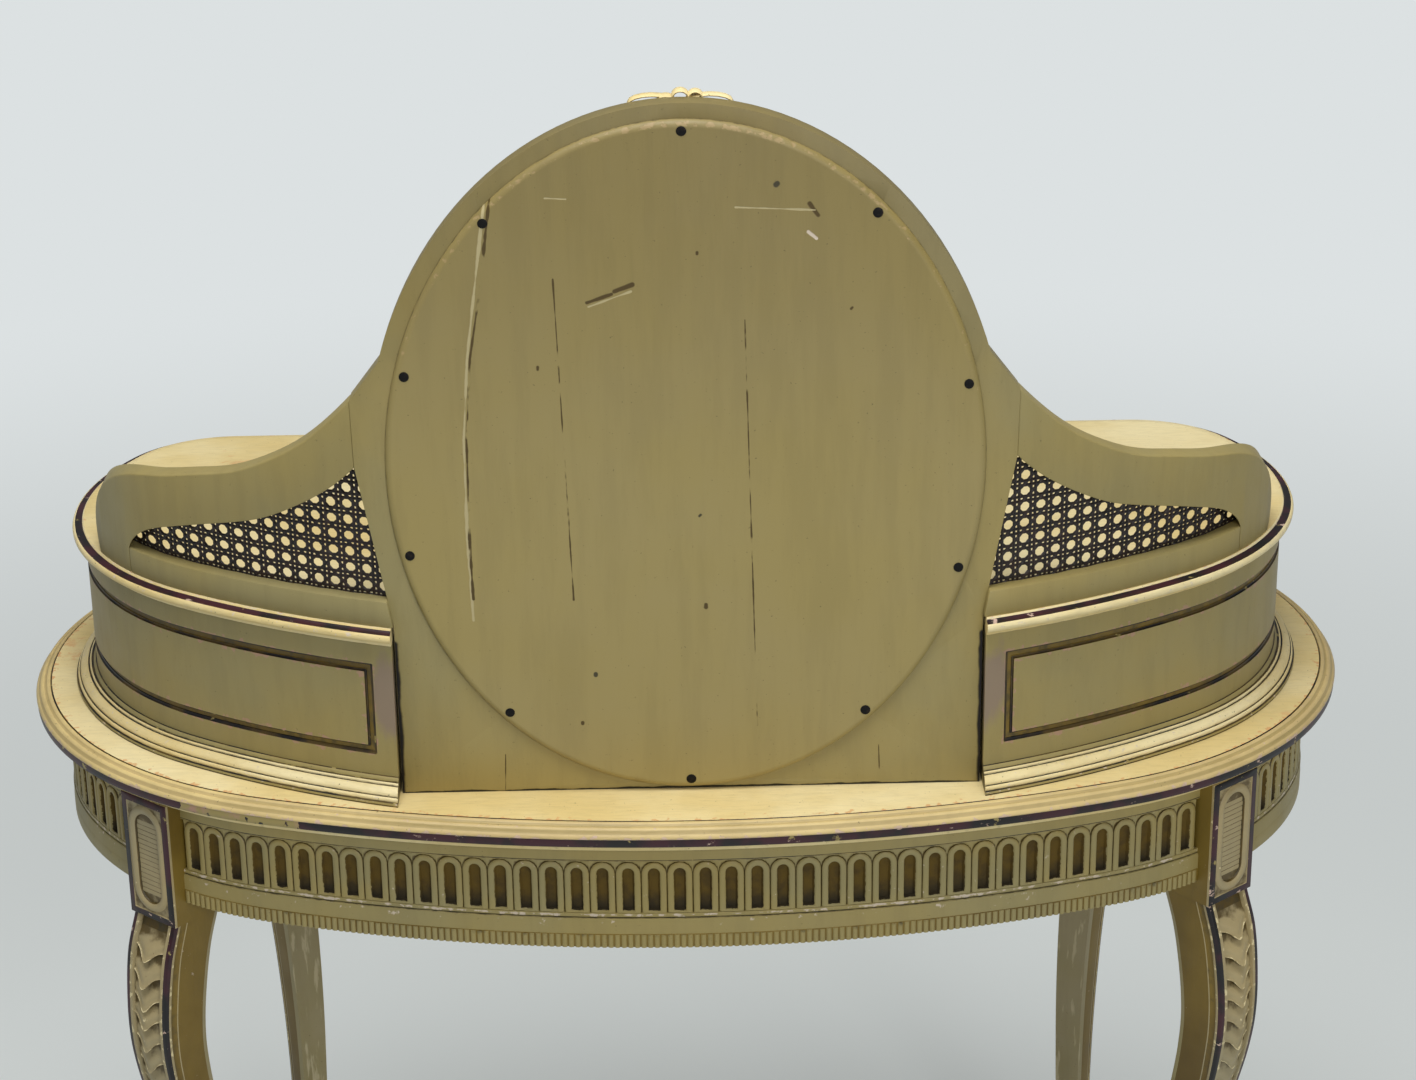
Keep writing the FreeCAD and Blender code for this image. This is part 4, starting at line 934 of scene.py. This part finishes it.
boxSettings = {
    "ovalSteps": 60, "cornerSteps": 16, "frontSteps": 6,
    # inset, height over the table top or over the cap's underside, paint, dirt and painted shade, rubbing
    "base": (
        # the dark strips at the foot of the moulding (second and third rows) are painted contact shadow and dirt along
        # the table top
        (24, 0, 0, 0, 0), (0.6, 0, 1, 0.5, 0), (0.4, 0.9, 1, 0.5, 0), (0, 1.3, 0, 0.2, 0.3),
        (0.4, 2.8, 0, 0.1, 0.4), (1.2, 3, 1, 0.6, 0), (1.8, 3.3, 1, 0.6, 0), (1.5, 4.6, 2, 0.1, 0.3),
        (1.9, 6, 2, 0, 0.35), (2.9, 6.5, 2, 0.2, 0.1), (3.5, 6.3, 1, 0.6, 0), (4, 6.6, 1, 0.6, 0),
        (3.7, 7.8, 2, 0.1, 0.2), (4.6, 9.6, 2, 0, 0.3), (6.6, 11, 2, 0, 0.35), (8.8, 11.9, 2, 0.05, 0.25),
        (10.4, 12.1, 2, 0.2, 0.1), (11, 11.6, 1, 0.7, 0), (11.8, 11.9, 1, 0.7, 0), (11.9, 13.3, 2, 0.1, 0.3),
        (13.2, 13.9, 2, 0.2, 0.2), (14, 13.7, 1, 0.6, 0), (15, 13.9, 1, 0.5, 0), (15.6, 15.2, 0, 0.2, 0.2),
        (17, 16.6, 0, 0.3, 0.1), (18, 17, 1, 0.6, 0), (24, 17, 0, 0, 0)),
    "cap": (
        (24, 0, 0, 0, 0), (18, 0, 1, 0.5, 0), (15.6, 0.4, 1, 0.5, 0), (14.6, 1.4, 0, 0.2, 0.1),
        (14.2, 4, 0, 0, 0.1), (13.2, 5, 0, 0.3, 0.1), (9.6, 5.2, 1, 0.3, 0.2), (8.2, 6.6, 2, 0.1, 0.3),
        (8, 8.4, 2, 0, 0.4), (8.8, 10.4, 2, 0, 0.35), (10.2, 11.2, 2, 0.1, 0.2), (10.8, 11.2, 3, 0, 0),
        (14.8, 11.5, 3, 0, 0), (16.2, 12.8, 3, 0, 0), (16.6, 13.5, 2, 0.1, 0.5), (17.4, 14, 2, 0, 0.45),
        (24, 14, 0, 0, 0)),
    "wallInset": 18 * mm, "wallThick": 14 * mm, "border": 17 * mm, "wallStop": 388 * mm,
    # across the groove from the panel's outer frame line, and how deep
    "groove": ((-6, 0), (-1, 0), (-0.2, 0), (0.5, 1.4), (1.6, 1.7), (2, 2.5), (5, 2.5), (5.4, 1.7), (6.4, 1.4), (7, 0),
               (8, 0), (16, 0))}


def boxStations():
    # places round a box from the back to the front: part and share along it
    counts = [(part, boxSettings[part + "Steps"]) for part in ("oval", "corner", "front")]
    return [(part, i / count) for part, count in counts for i in range(count)] + [("front", 1)]


def boxSpot(part, share, inset, z, stopX):
    if part == "oval":
        start = boxOval.backAngle(boxInner, inset)
        # the share is spread by length, so that the tight end gets its points
        first = boxOval.turn - start
        arcs = first * (boxOval.longRadius - inset), (cornerTurn - boxOval.turn) * (boxOval.endRadius - inset)
        run = share * sum(arcs)
        if run <= arcs[0]:
            return boxOval.point(start + run / (boxOval.longRadius - inset), inset, z)
        return boxOval.point(boxOval.turn + (run - arcs[0]) / (boxOval.endRadius - inset), inset, z)
    if part == "corner":
        turn = cornerTurn + (math.pi - cornerTurn) * share
        reach = plan["boxCorner"] - inset
        return Vector((cornerX + reach * math.sin(turn), cornerY + reach * math.cos(turn), z))
    return Vector((cornerX + (stopX - cornerX) * share, inset - boxFront, z))


def boxMoulding(name, profile, base, materials):
    stations = boxStations()
    loops = [([boxSpot(*station, inset * mm, base + height * mm, boxInner) for station in stations], *look)
             for inset, height, *look in profile]
    count, rows = len(stations), len(loops)
    side = columnFace(count, 0, rows) + columnFace(count, count - 1, rows)[::-1]  # the flat side next to the mirror
    return loftPiece(name, loops, materials, (0, 0), [side])


def boxWall():
    s = boxSettings
    border = s["border"]
    low, high = (corner.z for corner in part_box("box_wall_left"))
    groove = [(out * mm, deep * mm) for out, deep in s["groove"]]
    want = [border + out for out, _ in groove]
    heights = [low] + [low + w for w in want] + [high - w for w in reversed(want)] + [high]

    def spot(station, depth, z):
        return boxSpot(*station, s["wallInset"] + depth, z, s["wallStop"])

    # places are added where the groove runs up the wall, next to the mirror
    fine = boxStations()
    runs = runLengths([spot(station, 0, 0) for station in fine])
    ovalRun = runs[s["ovalSteps"]]
    stations = [f for f, run in zip(fine, runs) if run < 1 * mm or run > want[-1] + 4 * mm]
    stations += [("oval", w / ovalRun) for w in want]
    stations.sort(key=lambda station: (("oval", "corner", "front").index(station[0]), station[1]))
    rows, dirtAndShade, rub, offsets = [], [], [], []
    for z in heights:
        row = []
        for station in stations:
            run = station[1] * ovalRun if station[0] == "oval" else 1.0
            offset = min(run - border, z - low - border, high - border - z)
            depth = 0
            for (o1, d1), (o2, d2) in zip(groove, groove[1:]):
                if o1 <= offset <= o2 + 1e-9:
                    depth = d1 + (d2 - d1) * (offset - o1) / (o2 - o1)
            row.append(spot(station, depth, z))
            offsets.append(offset)
            dirtAndShade.append(0.45 if 0.3 * mm < offset < 7 * mm else 0.2 if -0.4 * mm < offset < 0.3 * mm else 0)
            rub.append(0.52 if -2 * mm < offset < 0.2 * mm or 6.8 * mm < offset < 9 * mm else 0)
        rows.append(row)
    rows += [[spot(station, s["wallThick"], z) for station in stations] for z in (high, low)] + [rows[0]]
    count = len(stations)
    bare = [0] * (3 * count)
    verts, faces = grid(rows)
    slots = []
    for r in range(len(rows) - 1):
        for c in range(r * count, r * count + count - 1):
            middle = sum(offsets[c:c + 2] + offsets[c + count:c + count + 2]) / 4 if r < len(heights) - 1 else 0
            slots.append(0 if not 0 < middle < 7 * mm else 2 if 1.9 * mm <= middle <= 5.2 * mm else 1)
    for column in (0, count - 1):
        faces.append(columnFace(count, column, len(rows) - 1))
        slots.append(0)
    return newPiece("boxWallLeft", verts, faces, [wallOlive, lineDark, wallGroove], slots, 30,
                    {"grime": dirtAndShade + bare, "wear": rub + bare})


capLow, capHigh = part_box("box_cap_left")
baseLeft = boxMoulding("boxBaseLeft", boxSettings["base"], topHigh.z, [olive, lineDark, bead, lineRed])
capLeft = boxMoulding("boxCapLeft", boxSettings["cap"], capLow.z, [cream, lineDark, bead, lineRed])
for piece, node in ((baseLeft, "base"), (boxWall(), "wall"), (capLeft, "cap")):
    putInPlace(piece, "box_" + node + "_left")
    putInPlace(mirrorPiece(piece, piece.name.replace("Left", "Right")), "box_" + node + "_right")
for side in ("left", "right"):
    softened("box_inner_side_" + side, "boxInnerSide_" + side, 0.8 * mm)
    softened("box_drawer_front_" + side, "boxDrawerFront_" + side, 1.2 * mm, "box_drawer_" + side)
for side in ("left", "right"):
    softened("wing_top_rail_" + side, "wingTopRail_" + side, 1.6 * mm, steps=3)
    softened("wing_bottom_rail_" + side, "wingBottomRail_" + side, 1.2 * mm)
print("boxes and wings made")


# Cane in the wings

caneSettings = {"pitch": 12.7 * mm, "pair": 1.75 * mm, "strand": 2.3 * mm, "setback": 30.2 * mm, "wave": 0.5 * mm,
                "fine": 1.5 * mm, "tuck": 3 * mm, "step": 2.2 * mm, "sides": 6}


def caneTree():
    # round strands that ride over and under each other
    tree, start = newTree("wovenCane", (("Strand", "Float"), ("Wave", "Float"), ("Pitch", "Float"),
                                        ("Paint", "Material")))
    fine = addNode(tree, "GeometryNodeResampleCurve", {"Curve": start["Geometry"], "Length": caneSettings["step"]},
                   mode="LENGTH")
    place = addNode(tree, "GeometryNodeInputPosition")
    apart = addNode(tree, "ShaderNodeSeparateXYZ", {0: place.outputs[0]}).outputs
    turns = mathNode(tree, "DIVIDE", mathNode(tree, "ADD", apart[0], apart[2]), start["Pitch"])
    sine = mathNode(tree, "SINE", mathNode(tree, "MULTIPLY", turns, math.pi))
    offset = addNode(tree, "ShaderNodeCombineXYZ", {1: mathNode(tree, "MULTIPLY", sine, start["Wave"])})
    move = addNode(tree, "GeometryNodeSetPosition", {"Geometry": fine.outputs[0], "Offset": offset.outputs[0]})
    ring = addNode(tree, "GeometryNodeCurvePrimitiveCircle", {
        "Resolution": caneSettings["sides"], "Radius": mathNode(tree, "MULTIPLY", start["Strand"], 0.5)})
    tube = addNode(tree, "GeometryNodeCurveToMesh", {"Curve": move.outputs[0], "Profile Curve": ring.outputs[0],
                                                     "Fill Caps": True})
    return closeTree(tree, tube.outputs[0], start["Paint"])


# upper edge of the cane, as shares of the wing's length and rise, and the wing's own measures
sightShares = ((0.184, 0.590), (0.296, 0.489), (0.392, 0.421), (0.532, 0.360), (0.708, 0.287), (0.792, 0.236),
               (0.848, 0.163))
wingPlan = {"heel": 222 * mm, "length": 250 * mm, "rise": 178 * mm, "neckRise": 126 * mm, "neckSpread": 23 * mm,
            "rail": 21 * mm, "tipShare": 0.864}

topOfBox = capHigh.z


def openingTop(x):
    # height of the opening's upper edge, at a distance from the middle of the table
    w = wingPlan
    spots = [(w["heel"] + w["neckSpread"], topOfBox + w["neckRise"])]
    spots += [(w["heel"] + a * w["length"], topOfBox + b * w["rise"]) for a, b in sightShares]
    spots += [(w["heel"] + w["tipShare"] * w["length"], topOfBox + w["rail"])]
    if x <= spots[0][0]:
        share = (spots[0][0] - x) / w["neckSpread"]
        return spots[0][1] * (1 - share) + topOfBox * share
    for (x1, z1), (x2, z2) in zip(spots, spots[1:]):
        if x1 <= x <= x2:
            return z1 + (z2 - z1) * (x - x1) / (x2 - x1)
    return topOfBox


def caneLine(points):
    # the part of a straight run in the opening, a little way into the frame, laid on the curved panel
    setback = caneSettings["setback"]
    low = topOfBox + wingPlan["rail"] - caneSettings["tuck"]
    inside = []
    for x, z in points:
        if x > wingPlan["heel"] + 1 * mm and low < z < openingTop(x) + caneSettings["tuck"]:
            inside.append(Vector((x, boxOval.point(boxOval.backAngle(x, setback), setback).y, z)))
        elif inside:
            break
    return inside


def caneStrands():
    # pairs of upright and level strands, then single ones at both slants
    c = caneSettings
    pitch, fine = c["pitch"], c["fine"]
    x0, z0 = wingPlan["heel"], topOfBox + wingPlan["rail"] + 0.1 * pitch
    wide, tall = wingPlan["length"], wingPlan["rise"]
    across, up = ([i * fine for i in range(int(length / fine))] for length in (wide, tall))
    strands = []
    for k in range(int(wide / pitch) + 1):
        strands += [[(x0 + k * pitch + side * c["pair"], topOfBox + z) for z in up] for side in (-1, 1)]
    for k in range(int(tall / pitch) + 1):
        strands += [[(x0 + x, z0 + k * pitch + side * c["pair"]) for x in across] for side in (-1, 1)]
    for k in range(-20, 40):
        for lean in (-1, 1):
            points = [(x0 + x, z0 + (k + 0.5) * pitch + lean * x) for x in across]
            strands.append([(x, z) for x, z in points if topOfBox - 10 * mm < z < topOfBox + tall])
    runs = [run for run in map(caneLine, strands) if len(run) > 2]
    return runTree(newPath(runs), caneTree(), "caneLeft", {"Strand": c["strand"], "Wave": c["wave"], "Pitch": pitch,
                                                           "Paint": darkCane})


caneLeft = caneStrands()
putInPlace(caneLeft, "cane_panel_left")
putInPlace(mirrorPiece(caneLeft, "caneRight"), "cane_panel_right")
print("cane woven")


# Mirror: board, oval back panel with screws, moulding, crest and glass

mirrorSettings = {"panelEase": 4.2 * mm, "boardEase": 1.4 * mm, "mouldingEase": 5 * mm, "sunk": 0.6 * mm,
                  "panelSteps": 200}
screwSettings = {"radius": 3.7 * mm, "sides": 14, "inset": 8 * mm, "sunk": 0.5 * mm, "seed": 2, "jitter": 0.04,
                 # share of the radius, and out in mm
                 "profile": ((1, -2), (1, 0.2), (0.86, 0.35), (0.5, 0.45)),
                 # half turns from the panel's top, clockwise from the front
                 "shares": (0, 0.233, 0.405, 0.583, 0.779, 1, 1.214, 1.394, 1.578, 1.773)}
panelLow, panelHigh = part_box("mirror_back_panel")
panelHalf, panelTall = (panelHigh.x - panelLow.x) / 2, (panelHigh.z - panelLow.z) / 2
panelMiddle = (panelHigh.z + panelLow.z) / 2
# tone, width, then the places (x, z) along each scratch, crack or chip
panelMarks = (
    ("scratch", 1.6, (140, 1236), (151, 1160), (158, 1110), (163, 1048), (163.5, 970), (161.5, 905)),
    ("umber", 1.6, (137, 1232), (148, 1155), (156, 1110), (161, 1048), (162, 970), (161, 922)),
    ("umber", 2.4, (70, 1151), (52, 1157)), ("umber", 2.8, (50, 1159), (37, 1164)),
    ("scratch", 1.1, (69, 1148), (38, 1159)), ("umber", 3.0, (-91, 1222), (-97, 1213)),
    ("umber", 0.9, (94, 1169), (86, 920)), ("umber", 0.8, (-44, 1136), (-51, 814)),
    ("scratch", 1.1, (98, 1229), (83, 1228)), ("scratch", 1.0, (-38, 1220), (-95, 1217)),
    ("chip", 2.0, (-90, 1201), (-96, 1196)),
    ("grime", 3.0, (-68, 1237), (-67, 1236)), ("grime", 2.4, (-10, 986), (-9, 985)),
    ("umber", 2.4, (107, 1103), (107, 1101)), ("grime", 2.4, (71, 859), (71, 858)),
    ("umber", 2.2, (-13, 914), (-13, 912)), ("umber", 2.0, (82, 819), (82, 818)),
    ("umber", 1.8, (-10, 1187), (-10, 1186)), ("umber", 2.0, (-122, 1144), (-121, 1143)))
# tone, width, then the places (x, z): fine joints, a dark line along the foot, and black strokes down both side edges
# that are painted shadow of the deep gap beside the boxes
boardMarks = (
    ("umber", 0.7, (142, 791), (143, 761)), ("umber", 0.7, (-144, 793), (-145, 762)),
    ("hollowDark", 1.6, (-222, 760.6), (222, 760.4)), ("black", 5, (222.5, 884), (222.5, 872), (222.5, 756)),
    ("black", 5, (-222.5, 884), (-222.5, 872), (-222.5, 756)))
panelPaint = markedPaint("panelPaint", "panel", "olive", panelMarks, 0.34, knots=((40, 763, 14),), face=panelHigh.y,
                         streak=(1, 1, 0.12), wearColor="tan")
boardPaint = markedPaint("boardPaint", "olive", "oliveGrey", boardMarks, 0.45, streak=(1, 1, 0.2), speck=0.4)
softened("mirror_board", "mirrorBoard", mirrorSettings["boardEase"], material=boardPaint)
softened("mirror_moulding", "mirrorMoulding", mirrorSettings["mouldingEase"], steps=4)
crestLow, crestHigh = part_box("mirror_crest")
crestSettings = {
    "sides": 8, "loopSteps": 16, "narrow": 0.98, "loopThick": 2.4 * mm, "tailThick": 2.6 * mm, "tailDeep": 0.55,
    # loops: middle and half width against the crest, height from its top, half height in mm, depth against the crest
    "loops": ((0.56, -10.4, 0.44, 5.6, 0.8), (-0.56, -10.4, 0.44, 5.6, 0.8), (0, -6, 0.15, 4.6, 1),
              (-0.29, -6.4, 0.13, 4.2, 0.9), (0.28, -8.6, 0.15, 3.4, 0.9)),
    "tail": ((0.03, -9), (0.12, -15), (0.26, -19), (0.36, -25.4))}


def ribbon(points, wide, thick, closed):
    # a flat band of rounded section bent along a path (x, z)
    count = len(points)
    middle = (crestLow.y + crestHigh.y) / 2
    loops = []
    for i, (x, z) in enumerate(points):
        before = points[(i - 1) % count] if closed else points[max(i - 1, 0)]
        after = points[(i + 1) % count] if closed else points[min(i + 1, count - 1)]
        along = Vector((after[0] - before[0], 0, after[1] - before[1])).normalized()
        out = Vector((-along.z, 0, along.x))
        row = []
        for t in fullTurn(crestSettings["sides"]):
            spread = math.copysign(abs(math.cos(t)) ** 0.5, math.cos(t))
            row.append(Vector((x, middle + wide / 2 * spread, z)) + out * thick / 2 * math.sin(t))
        loops.append((row, 0, 0.15, 0.25))
    return loftPiece("ribbon", loops + loops[:1] * closed, [bead], () if closed else (0, 0), closed=True, smooth=60)


def bow():
    # two low loops, two tails and a knot of small curls
    c = crestSettings
    high, span, depth = crestHigh.z, crestHigh.x, crestHigh.y - crestLow.y
    turns = fullTurn(c["loopSteps"])
    parts = []
    for x, z, wide, tall, deep in c["loops"]:
        loop = [(span * (x + wide * math.cos(t)) * c["narrow"], high + (z + tall * math.sin(t)) * mm) for t in turns]
        parts.append(ribbon(loop, depth * deep, c["loopThick"], True))
    for side in (-1, 1):
        tail = [(side * span * x, high + z * mm) for x, z in c["tail"]]
        parts.append(ribbon(tail, depth * c["tailDeep"], c["tailThick"], False))
    return joinPieces("mirrorCrest", parts)


def backPanel():
    turns = fullTurn(mirrorSettings["panelSteps"])
    ease, back, face = mirrorSettings["panelEase"], panelLow.y, panelHigh.y - mirrorSettings["sunk"]
    rows, dirtAndShade, rub = [], [], []
    for inset, y, grime, wear in ((8 * mm, back, 0, 0), (0, back, 0.7, 0), (0, back + 1 * mm, 0.5, 0),
                                  (ease * 0.25, back + 3.2 * mm, 0.1, 0.5), (ease * 0.6, face - 0.9 * mm, 0, 0.55),
                                  (ease, face, 0, 0.45), (ease + 1.5 * mm, face, 0.1, 0.1),
                                  (ease + 4 * mm, face, 0, 0), (40 * mm, face, 0, 0)):
        rows.append([Vector(((panelHalf - inset) * math.sin(t), y, panelMiddle + (panelTall - inset) * math.cos(t)))
                     for t in turns])
        dirtAndShade += [grime] * len(turns)
        rub += [wear * (0.45 + 0.55 * math.cos(t)) for t in turns]  # rubbed mostly round the upper half
    verts, faces = grid(rows, closed=True)
    faces += [rowFace(len(turns), 0), rowFace(len(turns), len(rows) - 1)]
    return newPiece("mirrorBackPanel", verts, faces, [panelPaint], None, 40, {"grime": dirtAndShade, "wear": rub})


def screwUnit():
    # a round head
    s = screwSettings
    turns = fullTurn(s["sides"])
    rows = [[Vector((r * s["radius"] * math.sin(t), y * mm, r * s["radius"] * math.cos(t))) for t in turns]
            for r, y in s["profile"]]
    verts, faces = grid(rows, closed=True)
    return newPiece("screwUnit", verts, faces + [rowFace(s["sides"], 3)], [blackScrew], None, 60)


def backScrews():
    s = screwSettings
    places = [Vector(((panelHalf - s["inset"]) * math.sin(math.pi * share), panelHigh.y - s["sunk"],
                      panelMiddle + (panelTall - s["inset"]) * math.cos(math.pi * share))) for share in s["shares"]]
    return repeated("backScrews", onSpots, screwUnit, places, s, blackScrew)


putInPlace(bow(), "mirror_crest")
putInPlace(backPanel(), "mirror_back_panel")
putInPlace(backScrews(), "mirror_back_screws")
print("mirror made")


# Drawers, knobs and the hidden wood keep the CAD shapes

softened("frieze_drawer_front", "friezeDrawerFront", 1.2 * mm, "frieze_drawer")
softened("front_rail", "frontRail", 1.2 * mm)
for node, thing in frame["nodes"].items():
    slotName = next(s["material_slot"] for s in frame["record"]["subparts"] if s["node"] == node)
    material = {"bare_wood": bareWood, "brass": brass, "mirror": silver, "cane": darkCane, "dark_screw": blackScrew,
                "painted_top": cream}.get(slotName, olive)
    for slot in thing.material_slots:
        slot.material = material
print("drawers finished")


# Floor, light and camera

stageSettings = {"fadeFrom": 0.8, "fadeTo": 3.8, "glow": 0.3, "rough": 0.9, "half": 9, "skyStrength": 0.28}
lightSettings = {  # place, target, size and power
    "overhead": ((0.2, 0.85, 3.6), (0, 0.1, 0.8), 2.0, 76), "behindCamera": ((-1.2, 3.8, 2.4), (0, 0.1, 0.6), 1.4, 46)}


def floorFinish():
    # diffuse under the lamps, with part of its colour given straight to the camera, and all of it far off
    p = Paint("paleFloor")
    s = stageSettings
    distance = p.band(p.vector("LENGTH", p.coords, output="Value"), s["fadeFrom"], s["fadeTo"])
    tone = p.mix(distance, "floorNear", "floorFar")
    p.done(tone, s["rough"])
    light = p.add("Emission", {"Color": tone})
    rays = p.add("LightPath").outputs
    seen = p.math("MAXIMUM", rays["Is Camera Ray"], rays["Is Glossy Ray"])
    seen = p.math("MAXIMUM", seen, rays["Is Transmission Ray"])
    share = p.math("MULTIPLY", seen, p.math("MULTIPLY_ADD", distance, 1 - s["glow"], s["glow"]))
    blend = p.add("MixShader", {0: share, 1: p.shader.outputs[0], 2: light.outputs[0]})
    plug(p.tree, p.tree.nodes["Material Output"].inputs["Surface"], blend.outputs[0])
    return p.material


half = stageSettings["half"]
floorPiece = newPiece("floor", [(-half, -half, 0), (half, -half, 0), (half, half, 0), (-half, half, 0)],
                      [(0, 1, 2, 3)], [floorFinish()])


def softWorld():
    # even light on the table, and its full colour behind it
    world = bpy.data.worlds.new("softWorld")
    bpy.context.scene.world = world
    world.use_nodes = True
    tree = world.node_tree
    back = tree.nodes["Background"]
    plug(tree, back.inputs["Color"], paintColors["sky"])
    plug(tree, back.inputs["Strength"], stageSettings["skyStrength"])
    seen = addNode(tree, "ShaderNodeBackground", {"Color": paintColors["sky"]})
    rays = addNode(tree, "ShaderNodeLightPath")
    both = addNode(tree, "ShaderNodeMixShader", {0: rays.outputs["Is Camera Ray"], 1: back.outputs[0],
                                                 2: seen.outputs[0]})
    plug(tree, tree.nodes["World Output"].inputs["Surface"], both.outputs[0])


def areaLight(name):
    place, target, size, power = lightSettings[name]
    lamp = bpy.data.lights.new(name, "AREA")
    lamp.shape = "DISK"
    lamp.size = size
    lamp.energy = power
    light = addObject(name, lamp)
    light.location = place
    light.rotation_euler = (Vector(target) - Vector(place)).to_track_quat("-Z", "Y").to_euler()


softWorld()
areaLight("overhead")
areaLight("behindCamera")


cameraFit = {"place": (17.15, 2373.4, 1766.8), "focal": 3000 / 1416 * 36, "down": math.radians(21.025),
             "roll": -0.01346, "yaw": math.radians(-0.889)}


def photoCamera():
    c = cameraFit
    right, up = Vector((-1, 0, 0)), Vector((0, -math.sin(c["down"]), math.cos(c["down"])))
    ahead = Vector((0, -math.cos(c["down"]), -math.sin(c["down"])))
    turned = math.cos(c["roll"]) * right + math.sin(c["roll"]) * up
    upward = -math.sin(c["roll"]) * right + math.cos(c["roll"]) * up
    spin = Matrix.Rotation(c["yaw"], 3, "Z")
    axes = Matrix([spin @ turned, spin @ upward, spin @ -ahead]).transposed().to_4x4()
    data = bpy.data.cameras.new("photoCamera")
    data.lens = c["focal"]
    data.sensor_width = 36
    data.sensor_fit = "HORIZONTAL"
    camera = addObject("photoCamera", data)
    camera.matrix_world = Matrix.Translation(Vector(c["place"]) * mm) @ axes
    bpy.context.scene.camera = camera


photoCamera()
bpy.context.scene.view_settings.view_transform = "Standard"
print("stage set")
